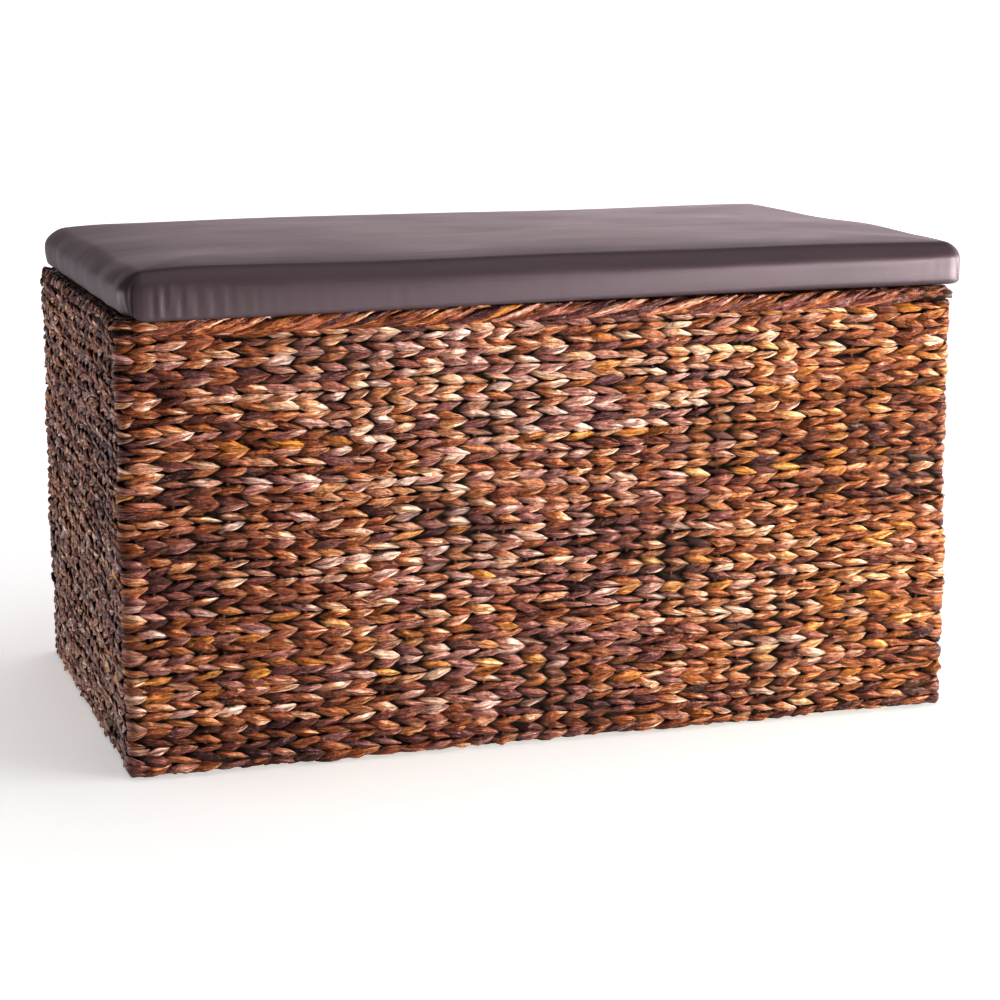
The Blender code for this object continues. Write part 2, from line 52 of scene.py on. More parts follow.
HALF_X, HALF_Y = (SHELL_HIGH.x - SHELL_LOW.x) / 2, (SHELL_HIGH.y - SHELL_LOW.y) / 2
CORNER = 0.015

# Weave
STAKES = 110
ROWS = 48
STAKE_INSET = 0.0068
STAKE_RADIUS = 0.0021
OUTER_RINGS, OUTER_SIDES = 17, 10
INNER_RINGS, INNER_SIDES = 11, 8
OUTER_SWING = 0.0047
INNER_SWING = 0.0032
TWINE_RISE = 0.0031
LEAF_HALF_HEIGHT = 0.0048
LEAF_HALF_THICKNESS = 0.0021
LEAF_FROM, LEAF_TO = -0.16, 1.26
LEAF_START_DEPTH = 0.0009
LEAF_TIP_DIP = 0.0011
CREASE_DEPTH = 0.24
ROW_WAVE = 0.0014
WALL_WAVE = 0.0010
STAKE_DRIFT = 0.0032
LEAF_OUTLINE = (0, 0.10, 0.25, 0.45, 0.64, 0.80, 0.92, 1), (0.26, 0.54, 0.84, 1.0, 0.94, 0.68, 0.36, 0.08)
CREASES = 6
LEAST_HEIGHT = 0.0018
DIAGONAL = math.sqrt(0.5)
WALL_SEED, LEDGE_SEED, INNER_FACE_SEED, SIDE_EDGE_SEED, FOOT_SEED = 1000, 6000, 6005, 6100, 9000


# Outline of the basket --------------------------------------------------------------------------

ARC = CORNER - STAKE_INSET
RUN_X = 2 * (HALF_X - CORNER)
RUN_Y = 2 * (HALF_Y - CORNER)
ARC_LENGTH = ARC * math.pi / 2
STRETCHES = np.array([RUN_X, ARC_LENGTH, RUN_Y, ARC_LENGTH] * 2)
STARTS = np.concatenate([[0], np.cumsum(STRETCHES)])
PERIMETER = STARTS[-1]
LEAST_ARC = 0.003


def plan(s, inset):
    """Points, outward normals and tangents round the basket.

    s is how far along from the left end of the front, and inset is how far inside the outer face.
    Corner arcs keep their stretch of s at every inset.
    """
    s, inset = np.broadcast_arrays(np.mod(s, PERIMETER), inset)
    part = np.clip(np.searchsorted(STARTS, s, side="right") - 1, 0, 7)
    local = s - STARTS[part]
    side, is_arc = part // 2, part % 2 == 1
    radius = np.maximum(CORNER - inset, LEAST_ARC)
    reach_x, reach_y = HALF_X - inset - radius, HALF_Y - inset - radius
    turn = np.where(is_arc, local / ARC_LENGTH, 0.0)
    angle = (side - 1 + turn) * math.pi / 2
    normal = np.stack([np.cos(angle), np.sin(angle)], -1)
    tangent = np.stack([-np.sin(angle), np.cos(angle)], -1)
    run = np.where(side % 2 == 0, RUN_X, RUN_Y)
    half_run = np.where(side % 2 == 0, reach_x, reach_y)
    along = np.where(is_arc, half_run, np.clip(local - run / 2, -half_run, half_run))
    across = np.where(side % 2 == 0, reach_y, reach_x)
    base = (side - 1) * math.pi / 2
    base_normal = np.stack([np.cos(base), np.sin(base)], -1)
    base_tangent = np.stack([-np.sin(base), np.cos(base)], -1)
    centre = base_tangent * along[..., None] + base_normal * across[..., None]
    points = centre + normal * radius[..., None] + np.array([MID_X, MID_Y])
    return points, normal, tangent


def held(values):
    """Values held between 0 and 1."""
    return np.clip(values, 0, 1)


def unit(vectors):
    return vectors / np.linalg.norm(vectors, axis=1)[:, None]


def circle(sides):
    """Angles of a tube's sides."""
    return 2 * np.pi * np.arange(sides) / sides


def waves(points, wavelength, seed):
    """Smooth noise about zero, as a sum of sine waves in random directions."""
    count = 7
    rng = np.random.default_rng(seed)
    total = np.zeros(points.shape[:-1])
    for _ in range(count):
        direction = rng.normal(size=3)
        direction /= np.linalg.norm(direction)
        number = 2 * math.pi / (wavelength * rng.uniform(0.7, 1.4))
        total += np.sin(points @ direction * number + rng.uniform(0, 2 * math.pi))
    return total / math.sqrt(count / 2)


# Meshes -----------------------------------------------------------------------------------------


def new_object(name, data):
    obj = bpy.data.objects.new(name, data)
    bpy.context.scene.collection.objects.link(obj)
    return obj


def mesh_piece(name, vertices, quads, material, body, attributes=None):
    """A smooth mesh from arrays, riding on a body. attributes maps a name to one value a vertex."""
    mesh = bpy.data.meshes.new(name)
    mesh.vertices.add(len(vertices))
    mesh.vertices.foreach_set("co", np.ascontiguousarray(vertices, np.float32).ravel())
    mesh.loops.add(quads.size)
    mesh.loops.foreach_set("vertex_index", np.ascontiguousarray(quads, np.int32).ravel())
    mesh.polygons.add(len(quads))
    mesh.polygons.foreach_set("loop_start", np.arange(0, quads.size, 4, dtype=np.int32))
    mesh.update(calc_edges=True)
    mesh.shade_smooth()
    for key, values in (attributes or {}).items():
        values = np.asarray(values, np.float32)
        if values.ndim == 1:
            mesh.attributes.new(key, "FLOAT", "POINT").data.foreach_set("value", values)
        else:
            mesh.attributes.new(key, "FLOAT_VECTOR", "POINT").data.foreach_set("vector", values.ravel())
    mesh.materials.append(material)
    obj = new_object(name, mesh)
    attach(obj, body)
    return obj


def tube_quads(rings, sides, closed):
    """Quads of a tube whose vertices are numbered ring by ring."""
    ring = np.arange(rings if closed else rings - 1)[:, None]
    side = np.arange(sides)[None, :]
    after, beside = (ring + 1) % rings, (side + 1) % sides
    corners = (ring * sides + side, after * sides + side, after * sides + beside, ring * sides + beside)
    return np.stack(np.broadcast_arrays(*corners), -1).reshape(-1, 4)


def leaf_quads(count, rings, sides):
    """Quads of many short tubes, one after another, closed at both ends."""
    i = np.arange(sides // 2 - 1)
    cap = np.stack([i, i + 1, sides - 2 - i, sides - 1 - i], -1)
    one = np.concatenate([tube_quads(rings, sides, False), cap, cap[:, ::-1] + (rings - 1) * sides])
    return (one[None] + np.arange(count)[:, None, None] * rings * sides).reshape(-1, 4)


class Batch:
    """Gathers many tubes into one mesh."""

    def __init__(self):
        self.vertices, self.quads, self.attributes, self.count = [], [], {}, 0

    def add(self, vertices, quads, attributes):
        self.vertices.append(vertices)
        self.quads.append(quads + self.count)
        self.count += len(vertices)
        for key, values in attributes.items():
            self.attributes.setdefault(key, []).append(values)

    def piece(self, name, material, body, slot):
        merged = {key: np.concatenate(values) for key, values in self.attributes.items()}
        return mesh_piece(
            name, np.concatenate(self.vertices), np.concatenate(self.quads), material, body, merged
        )


# Materials --------------------------------------------------------------------------------------


class Nodes:
    """Shader nodes under construction, of a new material or the world."""

    def __init__(self, name, kind="materials"):
        self.owner = getattr(bpy.data, kind).new(name)
        self.owner.use_nodes = True
        self.tree = self.owner.node_tree
        self.shader = self.tree.nodes["Principled BSDF" if kind == "materials" else "Background"]

    def feed(self, socket, value):
        """Links a socket, or sets a plain value."""
        if isinstance(value, bpy.types.NodeSocket):
            self.tree.links.new(value, socket)
        else:
            socket.default_value = value

    def add(self, kind, inputs=(), **settings):
        """A new node, and what feeds its inputs, by name or in order."""
        node = self.tree.nodes.new(kind)
        for key, value in settings.items():
            setattr(node, key, value)
        for key, value in inputs.items() if isinstance(inputs, dict) else enumerate(inputs):
            self.feed(node.inputs[key], value)
        return node

    def attribute(self, name, output="Fac"):
        return self.add("ShaderNodeAttribute", attribute_name=name).outputs[output]

    def place(self, output="Object"):
        return self.add("ShaderNodeTexCoord").outputs[output]

    def math(self, operation, *values):
        return self.add("ShaderNodeMath", values, operation=operation).outputs[0]

    def vector_math(self, operation, *values):
        return self.add("ShaderNodeVectorMath", values, operation=operation)

    def noise(self, vector, scale, detail=3.0, roughness=0.55):
        """Noise that is stretched where the scale is a tuple."""
        if isinstance(scale, tuple):
            vector, scale = self.vector_math("MULTIPLY", vector, scale).outputs[0], 1.0
        inputs = {"Vector": vector, "Scale": scale, "Detail": detail, "Roughness": roughness}
        return self.add("ShaderNodeTexNoise", inputs).outputs["Fac"]

    def voronoi(self, vector, scale, randomness=1.0):
        inputs = {"Vector": vector, "Scale": scale, "Randomness": randomness}
        return self.add("ShaderNodeTexVoronoi", inputs)

    def facets(self, vector, scale):
        """Heights of flat faces, each tilted its own way as in crumpled paper, and a random value a face."""
        vector = self.vector_math("MULTIPLY", vector, scale).outputs[0]
        cells = self.voronoi(vector, 1.0)
        away = self.vector_math("SUBTRACT", vector, cells.outputs["Position"]).outputs[0]
        tilt = self.vector_math("SUBTRACT", cells.outputs["Color"], (0.5, 0.5, 0.5)).outputs[0]
        height = self.vector_math("DOT_PRODUCT", away, tilt).outputs["Value"]
        return height, self.add("ShaderNodeSeparateXYZ", (cells.outputs["Color"],)).outputs[2]

    def spread(self, value, low, high, to_low=0.0, to_high=1.0):
        """Maps low..high of a value to another range, held at its ends."""
        return self.add("ShaderNodeMapRange", (value, low, high, to_low, to_high)).outputs[0]

    def ramp(self, value, places, colours):
        node = self.add("ShaderNodeValToRGB", (value,))
        elements = node.color_ramp.elements
        while len(elements) < len(places):
            elements.new(0.5)
        for element, place, colour in zip(elements, places, colours):
            element.position = place
            element.color = (*colour, 1)
        return node.outputs[0]

    def mix(self, share, a, b):
        first, second = ((*value, 1) if isinstance(value, tuple) else value for value in (a, b))
        return self.add("ShaderNodeMix", {0: share, 6: first, 7: second}, data_type="RGBA").outputs[2]

    def bumps(self, *layers):
        """One normal from layers of (height, distance, strength), coarse ones first."""
        normal = None
        for height, distance, strength in layers:
            inputs = {"Height": height, "Distance": distance, "Strength": strength}
            if normal is not None:
                inputs["Normal"] = normal
            normal = self.add("ShaderNodeBump", inputs).outputs[0]
        return normal

    def finish(self, colour, roughness, **others):
        inputs = {"Base Color": colour, "Roughness": roughness, **others}
        for key, value in inputs.items():
            self.feed(self.shader.inputs[key.replace("_", " ")], value)
        return self.owner


# Each family of leaf colours runs from its darkest tone to its palest.
TONES = (0.00, 0.15, 0.30, 0.45, 0.60, 0.75, 0.88, 1.00)
MAUVES = (
    (0.016, 0.004, 0.006),
    (0.048, 0.015, 0.020),
    (0.110, 0.036, 0.038),
    (0.195, 0.070, 0.062),
    (0.310, 0.125, 0.100),
    (0.470, 0.235, 0.185),
    (0.620, 0.390, 0.310),
    (0.820, 0.620, 0.530),
)
BROWNS = (
    (0.016, 0.0035, 0.0040),
    (0.045, 0.012, 0.012),
    (0.115, 0.028, 0.016),
    (0.220, 0.058, 0.020),
    (0.360, 0.112, 0.036),
    (0.520, 0.240, 0.115),
    (0.660, 0.390, 0.240),
    (0.830, 0.610, 0.470),
)
OCHRE_TONES = (0.00, 0.40, 0.75, 1.00)
OCHRES = ((0.026, 0.009, 0.005), (0.270, 0.085, 0.012), (0.620, 0.250, 0.040), (0.850, 0.520, 0.150))


def leaf_material():
    """Dried, lacquered leaf strands. tone, hue and fibre are stored on the meshes, with a level of painted
    shading and a painted highlight at the leaves' ends.
    """
    n = Nodes("twined_leaf")
    fibre = n.attribute("fibre", "Vector")
    streaks = n.noise(fibre, (40, 900, 1), 4.0, 0.6)
    fine = n.noise(fibre, (120, 2600, 1), 3.0, 0.6)
    blotches = n.noise(fibre, (110, 160, 1), 3.0, 0.6)
    crumple = n.noise(fibre, (130, 360, 1), 2.0, 0.5)
    ridges = n.math("ABSOLUTE", n.math("SUBTRACT", crumple, 0.5))
    # Painted shading: each flat face of the crumple gets its own brightness, as light falling at its own
    # angle would give it.
    facets, facet_shading = n.facets(fibre, (52, 210, 1))
    tip, shade, hue, tone = (n.attribute(key) for key in ("tip", "shade", "hue", "tone"))
    # Painted highlight: the leaves grow paler towards their ends, and their flat faces differ more in
    # brightness there.
    lit = n.math("MULTIPLY_ADD", tip, 0.30, 0.16)
    for source, middle, amount in (
        (streaks, 0.5, 0.90),
        (blotches, 0.5, 0.55),
        (ridges, 0.06, -1.1),
        (tip, 0.30, 0.17),
        (facet_shading, 0.42, lit),
    ):
        tone = n.math("MULTIPLY_ADD", n.math("SUBTRACT", source, middle), amount, tone)
    colour = n.mix(n.spread(hue, 0.02, 0.28), n.ramp(tone, TONES, MAUVES), n.ramp(tone, TONES, BROWNS))
    colour = n.mix(n.spread(hue, 0.38, 1.0), colour, n.ramp(tone, OCHRE_TONES, OCHRES))
    specks = n.spread(n.noise(fibre, (420, 700, 1), 2.0), 0.66, 0.74)
    colour = n.mix(n.math("MULTIPLY", specks, 0.55), colour, (0.030, 0.008, 0.005))
    # Painted shading: the leaves turn near black deep in the gaps, where they start behind a neighbour and
    # along their edges, where shade falls.
    colour = n.mix(n.spread(shade, 0.13, 0.68, 0.99, 0.0), colour, (0.0030, 0.0004, 0.0002))
    roughness = n.math("ADD", n.spread(blotches, 0.3, 0.7, 0.15, 0.34), n.spread(shade, 0.1, 0.7, 0.65, 0.0))
    coarse = ((facets, 0.0080, 1.0), (ridges, 0.0030, 1.0))
    normal = n.bumps(*coarse, (streaks, 0.0008, 0.8), (fine, 0.0002, 0.7))
    tint = (1.0, 0.78, 0.66, 1)
    return n.finish(colour, roughness, Normal=normal, Specular_IOR_Level=0.44, Specular_Tint=tint)


def faux_leather_material():
    """Coated cloth with a fine grain, a satin sheen and faint stretch lines along the trunk."""
    n = Nodes("faux_leather_brown")
    at = n.place()
    cloudy = n.noise(at, 7.0)
    colour = n.mix(cloudy, (0.037, 0.025, 0.029), (0.046, 0.031, 0.036))
    grain = n.voronoi(at, 900.0).outputs["Distance"]
    fine = n.noise(at, 2400.0, 2.0)
    lines = n.noise(at, (6, 170, 90), 2.0)
    roughness = n.math("ADD", n.spread(cloudy, 0.3, 0.7, 0.44, 0.50), n.spread(lines, 0.3, 0.7, -0.02, 0.04))
    normal = n.bumps((lines, 0.0004, 0.7), (grain, 0.00012, 0.30), (fine, 0.00005, 0.4))
    return n.finish(colour, roughness, Normal=normal, Specular_Tint=(1.0, 0.87, 0.92, 1))


def wood_material(axis):
    """Sawn softwood whose grain runs along one axis."""
    n = Nodes(f"softwood_along_{axis}")
    stretch = [38.0, 38.0, 38.0]
    stretch["xyz".index(axis)] = 2.2
    grain_at = n.vector_math("MULTIPLY", n.place(), stretch).outputs[0]
    warp = n.noise(grain_at, 0.6, 2.0)
    rings = n.noise(grain_at, (3, 3, 3), 5.0, 0.65)
    tone = n.math("MULTIPLY_ADD", warp, 0.6, n.math("MULTIPLY", rings, 0.55))
    colour = n.mix(n.spread(tone, 0.35, 0.8), (0.56, 0.40, 0.24), (0.34, 0.20, 0.10))
    fibres = n.noise(grain_at, (14, 14, 14), 2.0)
    return n.finish(colour, n.spread(rings, 0.3, 0.7, 0.62, 0.78), Normal=n.bumps((fibres, 0.0003, 0.5)))


def steel_material():
    n = Nodes("zinc_steel")
    at = n.place()
    brushed = n.noise(at, (900, 90, 90))
    colour = n.mix(n.noise(at, 160.0), (0.36, 0.35, 0.34), (0.50, 0.49, 0.47))
    roughness = n.spread(brushed, 0.3, 0.7, 0.26, 0.44)
    return n.finish(colour, roughness, Normal=n.bumps((brushed, 0.00005, 0.5)), Metallic=1.0)


def plastic_material(name, dark, light, low, high):
    n = Nodes(name)
    at = n.place()
    mould = n.noise(at, 1400.0)
    scuffs = n.noise(at, 90.0, 4.0)
    colour = n.mix(n.spread(scuffs, 0.5, 0.8), dark, light)
    roughness = n.spread(scuffs, 0.3, 0.7, low, high)
    return n.finish(colour, roughness, Normal=n.bumps((mould, 0.00008, 0.6)))


def dust_cloth_material():
    n = Nodes("black_nonwoven_cloth")
    at = n.place()
    points = n.voronoi(at, 620.0, 0.15).outputs["Distance"]
    height = n.math("ADD", points, n.math("MULTIPLY", n.noise(at, 1500.0, 4.0), 0.4))
    colour = n.mix(n.spread(points, 0.15, 0.5), (0.006, 0.006, 0.007), (0.020, 0.020, 0.021))
    return n.finish(colour, 0.92, Normal=n.bumps((height, 0.0003, 0.8)))


def foam_material():
    n = Nodes("open_cell_foam")
    cells = n.voronoi(n.place(), 700.0).outputs["Distance"]
    colour = n.mix(n.spread(cells, 0.1, 0.7), (0.55, 0.50, 0.36), (0.80, 0.76, 0.60))
    return n.finish(colour, 0.95, Normal=n.bumps((cells, 0.0008, 0.8)))


LEAF = leaf_material()
LEATHER = faux_leather_material()
WOOD = {axis: wood_material(axis) for axis in "xyz"}
STEEL = steel_material()
GLIDE_PLASTIC = plastic_material("black_glide_plastic", (0.012,) * 3, (0.040,) * 3, 0.40, 0.60)
BUMPER_RUBBER = plastic_material(
    "grey_brown_rubber", (0.030, 0.026, 0.026), (0.070, 0.064, 0.060), 0.70, 0.85
)
DUST_CLOTH = dust_cloth_material()
FOAM = foam_material()


# Weave ------------------------------------------------------------------------------------------


def drifted(s, height):
    """Points on the ring of stakes, and s with the stakes' wandering added."""
    points, _, _ = plan(s, STAKE_INSET)
    centre = np.concatenate([points, np.broadcast_to(height, s.shape)[..., None]], -1)
    return centre, s + STAKE_DRIFT * waves(centre * (1, 1, 1.6), 0.17, 11)


# Kinds of leaf, darkest first: the share up to and with each kind, and its range of tones about the mean.
LEAF_KINDS = ((0.14, -0.34, -0.22), (0.50, -0.18, -0.03), (0.95, -0.03, 0.13), (1.0, 0.13, 0.26))
COMMON_HUES, OCHRE_HUES = (0.0, 0.50), (0.7, 1.0)
OCHRE_FROM = 0.95


def leaf_tones(rng, cells, mean=0.55):
    """Tone and hue for each crossing along a strand, which is spliced from leaves a few crossings long."""
    tones, hues = np.empty(cells), np.empty(cells)
    at = 0
    while at < cells:
        length = rng.integers(2, 9)
        kind = rng.random()
        tones[at : at + length] = mean + next(
            rng.uniform(low, high) for share, low, high in LEAF_KINDS if kind < share
        )
        hues[at : at + length] = rng.uniform(*(COMMON_HUES if rng.random() < OCHRE_FROM else OCHRE_HUES))
        at += length
    return tones + rng.normal(0, 0.08, cells), held(hues + rng.normal(0, 0.08, cells))


# How a row's section lies on each surface: the ways it stands out and rises, each as (inset, height).
WALL = (-1, 0), (0, 1)
LEDGE = (0, 1), (1, 0)
TOP_EDGE = (-DIAGONAL, DIAGONAL), (DIAGONAL, DIAGONAL)
FOOT_EDGE = (-DIAGONAL, -DIAGONAL), (-DIAGONAL, DIAGONAL)
INNER_FACE = (1, 0), (0, -1)

HINGES = [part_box(f"hinge_trunk_leaf_{word}") for word in ("left", "right")]


def clear_of_hinges(vertices):
    """Presses border strands down where a hinge leaf is let into them."""
    margin = 0.0015
    for low, high in HINGES:
        inside = (
            (vertices[:, 0] > low.x - margin)
            & (vertices[:, 0] < high.x + margin)
            & (vertices[:, 1] > low.y - margin)
        )
        vertices[inside, 2] = np.minimum(vertices[inside, 2], low.z - 0.0004)
    return vertices


def leaves(rng, surface, inset, height, twist, outside, tones, hues, scale, keep):
    """One leaf at each stake, all on one side of the stakes.

    A leaf starts low behind its neighbour, climbs slantwise out over the stake, and ends in a point that
    lies on the start of the next.
    """
    rings, sides = (OUTER_RINGS, OUTER_SIDES) if outside else (INNER_RINGS, INNER_SIDES)

    def each():
        """A random number for each leaf."""
        return rng.normal(size=(STAKES, 1))

    def varied(spread):
        return 1 + spread * each()

    u = np.linspace(0, 1, rings)[None, :]
    first, last = LEAF_FROM * varied(0.3), LEAF_TO + 0.06 * each()
    t = first + (last - first) * u
    swing = (OUTER_SWING if outside else INNER_SWING) * varied(0.13)
    climb = 1 - (1 - held(u / 0.62)) ** (2.2 * varied(0.15))
    depth = swing * climb - LEAF_START_DEPTH - LEAF_TIP_DIP * held((u - 0.80) / 0.20) ** 2
    if not outside:
        depth = -depth
    lean = TWINE_RISE * varied(0.20)
    rise = twist * lean * (2 * u - 1 + 0.10 * np.sin(2 * np.pi * u)) + 0.0006 * each()
    body = np.sin(np.pi * u) ** 0.5
    half_height = LEAF_HALF_HEIGHT * np.interp(u, *LEAF_OUTLINE) * np.clip(varied(0.15), 0.62, 1.35)
    half_thick = LEAF_HALF_THICKNESS * (0.22 + 0.78 * body) * varied(0.15)
    roll = (0.26 * each() + 0.10 * twist) * (0.4 + 0.6 * u)

    stake = np.arange(STAKES)[:, None]
    centre, s = drifted((stake + t) * PERIMETER / STAKES, height)
    rise = rise + ROW_WAVE * waves(centre * (1, 1, 0.45), 0.21, 12)
    depth = depth + WALL_WAVE * waves(centre, 0.16, 13)

    # Creases run along the leaf: each side of its section keeps its own ridge for a while.
    place = np.clip(u[0] * (CREASES - 1), 0, CREASES - 1.001)
    low = place.astype(int)
    share = (place - low)[None, :, None]
    ridge = rng.normal(size=(STAKES, CREASES, sides))
    kink = rng.normal(size=(STAKES, CREASES, 2))
    crease = 1 + CREASE_DEPTH * (ridge[:, low] * (1 - share) + ridge[:, low + 1] * share)
    bend = kink[:, low] * (1 - share) + kink[:, low + 1] * share
    depth = depth + 0.00026 * bend[..., 0] * body
    rise = rise + 0.00034 * bend[..., 1] * body

    around = circle(sides)
    up = half_height[..., None] * np.sin(around) * crease
    lens = np.sign(np.cos(around)) * np.abs(np.cos(around)) ** 0.85
    out = half_thick[..., None] * lens * crease
    cos_roll, sin_roll = np.cos(roll)[..., None], np.sin(roll)[..., None]
    rolled_out = out * cos_roll - up * sin_roll + depth[..., None]
    rolled_up = out * sin_roll + up * cos_roll + rise[..., None]
    outwards, upwards = surface
    insets = inset + (outwards[0] * rolled_out + upwards[0] * rolled_up) * scale
    heights = np.maximum(height + (outwards[1] * rolled_out + upwards[1] * rolled_up) * scale, LEAST_HEIGHT)
    wide_s = np.repeat(s[..., None], sides, -1)
    spots, _, _ = plan(wide_s, insets)
    vertices = np.concatenate([spots, heights[..., None]], -1)

    full = np.ones((STAKES, rings, sides))
    tone = tones[:, None] + waves(centre, 0.33, 14) * 0.045 - 0.10 * held((0.05 - height) / 0.05)
    # Painted shading: darker where a leaf lies deep between the stakes and along its edges, where shade
    # falls.
    facing = 0.58 + 0.42 * held(np.cos(around) * (1 if outside else -1))
    shade = held(0.06 + 1.08 * facing * np.abs(rolled_out) / (OUTER_SWING + LEAF_HALF_THICKNESS))
    # Painted highlight: the outer leaves grow paler towards their ends, where the light catches them; the
    # inner ones much less.
    tip = held((u - 0.34) / 0.42) * rng.uniform(0.35, 1.25, (STAKES, 1)) * (1.0 if outside else 0.3)
    lot = rng.uniform(0, 900.0, (STAKES, 1, 1))
    fibre = np.stack([wide_s, full * around * LEAF_HALF_HEIGHT, full * lot], -1)
    # The leaves are paler and greyer in the middle of the front, and get yellower towards its right end.
    across = centre[..., 0] - MID_X
    frontwards = held((MID_Y - centre[..., 1]) / 0.20)
    shift = 0.20 * held(across / 0.34) - 0.10 * np.exp(-((across / 0.20) ** 2))
    hue = held(hues[:, None] + shift * frontwards)
    tone = tone + 0.07 * np.exp(-((across / 0.24) ** 2)) * frontwards
    values = {"tone": tone[..., None], "hue": hue[..., None], "shade": shade, "tip": tip[..., None]}
    attributes = {key: (full * value)[keep].ravel() for key, value in values.items()}
    attributes["fibre"] = fibre[keep].reshape(-1, 3)
    return vertices[keep].reshape(-1, 3), leaf_quads(int(keep.sum()), rings, sides), attributes


def add_row(batch, seed, surface, inset, height, twist, scale=1.0, mean=0.55, keep=None):
    """A row of twining: two strands that swap sides between the stakes. keep picks out some of the stakes."""
    rng = np.random.default_rng(seed)
    strands = [leaf_tones(rng, STAKES, mean) for _ in range(2)]
    even = np.arange(STAKES) % 2 == 0
    keep = np.ones(STAKES, bool) if keep is None else keep
    for outside in (True, False):
        tones, hues = (np.where(even == outside, strands[0][k], strands[1][k]) for k in (0, 1))
        made = leaves(rng, surface, inset, height, twist, outside, tones, hues, scale, keep)
        batch.add(clear_of_hinges(made[0]), *made[1:])


def leaf_piece(name, batch):
    return batch.piece(name, LEAF, "trunk", "woven_leaf")


def rows_piece(name, *rows):
    """Rows of twining as one piece. Each row is what add_row takes after the batch."""
    batch = Batch()
    for row in rows:
        add_row(batch, *row)
    return leaf_piece(name, batch)


def strip_attributes(vertices, tone, hue, shade, seed):
    """Leaf attributes for a part that is mostly hidden, with one level of painted shading over all of it."""
    size = len(vertices)
    fibre = np.stack([vertices[:, 0] + vertices[:, 1], vertices[:, 2], np.full(size, float(seed))], -1)
    values = {"tone": tone, "hue": hue, "shade": shade, "tip": 0.0}
    return {**{key: np.full(size, value) for key, value in values.items()}, "fibre": fibre}


def ring_vertices(profile):
    """A profile of (inset, height) carried all round the basket, and its quads."""
    steps = 320
    s = np.linspace(0, PERIMETER, steps, endpoint=False)
    rings = []
    for inset, height in profile:
        points, _, _ = plan(s, inset)
        rings.append(np.concatenate([points, np.full((steps, 1), height)], -1))
    return np.stack(rings).reshape(-1, 3), tube_quads(len(profile), steps, True)[:, ::-1]


def build_weave():
    """Rows of twining in pairs. The two rows of a pair twist opposite ways and make a chevron."""
    pitch = (RIM_LOW.z - SHELL_LOW.z) / ROWS
    pieces = []
    for pair in range(ROWS // 2):
        rows = [
            (WALL_SEED + row, WALL, STAKE_INSET, SHELL_LOW.z + (row + 0.5) * pitch, twist)
            for row, twist in ((2 * pair, 1.0), (2 * pair + 1, -1.0))
        ]
        pieces.append(rows_piece(f"twined_rows_{pair + 1:02d}", *rows))
    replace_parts(pieces[0], "woven_shell")

    # A narrow core strand in each row fills the gaps between the crossings. It is painted near black, as
    # painted shading in the gaps.
    batch = Batch()
    for row in range(ROWS):
        height = SHELL_LOW.z + (row + 0.5) * pitch
        reach, half, behind = 0.53 * pitch, 0.0007, 0.0012
        corners = ((-half, -reach), (half, -reach), (half, reach), (-half, reach))
        profile = [(STAKE_INSET + behind + x, height + z) for x, z in corners]
        vertices, ring_quads = ring_vertices(profile)
        batch.add(vertices, ring_quads, strip_attributes(vertices, 0.10, 0.1, 0.0, row))
    leaf_piece("core_strands", batch)


def build_stakes():
    """Upright ribs inside the twining."""
    batch = Batch()
    rings, sides = 25, 8
    heights = np.linspace(SHELL_LOW.z + 0.003, RIM_LOW.z, rings)
    around = circle(sides)
    rng = np.random.default_rng(77)
    for stake in range(STAKES):
        _, s = drifted(np.full(rings, (stake + 0.5) * PERIMETER / STAKES), heights)
        points, normal, tangent = plan(s, STAKE_INSET)
        radius = STAKE_RADIUS * (1 + 0.08 * rng.normal(size=(rings, sides)))
        across, out = radius * np.cos(around), radius * np.sin(around)
        spots = points[:, None] + tangent[:, None] * across[..., None] + normal[:, None] * out[..., None]
        z = np.repeat(heights[:, None], sides, 1)
        vertices = np.concatenate([spots, z[..., None]], -1).reshape(-1, 3)
        # The stakes are partly darkened by painted shading, as they stand deep inside the twining.
        attributes = strip_attributes(vertices, rng.uniform(0.2, 0.5), 0.2, 0.5, stake)
        batch.add(vertices, tube_quads(rings, sides, False), attributes)
    leaf_piece("stakes", batch)


# Borders ----------------------------------------------------------------------------------------


def route(points):
    """A polyline in (inset, height), read at even steps, with its normals to the left of the way."""
    step = 0.0008
    points = np.array(points)
    lengths = np.concatenate([[0], np.cumsum(np.linalg.norm(np.diff(points, axis=0), axis=1))])
    at = np.linspace(0, lengths[-1], int(lengths[-1] / step))
    line = np.stack([np.interp(at, lengths, points[:, i]) for i in (0, 1)], -1)
    way = unit(np.gradient(line, axis=0))
    return line, np.stack([-way[:, 1], way[:, 0]], -1)


def arc_points(centre, radius, first, last):
    angles = np.radians(np.linspace(first, last, 6))
    return [(centre[0] + radius * math.cos(a), centre[1] + radius * math.sin(a)) for a in angles]


def on_short_side(s, before=0.0, after=0.0):
    """Whether a place is on the left or right side, or at most this far before or after one."""
    for side in (2, 6):
        low, high = STARTS[side] - before, STARTS[side + 1] + after
        if low < s < high or s + PERIMETER < high:
            return True
    return False


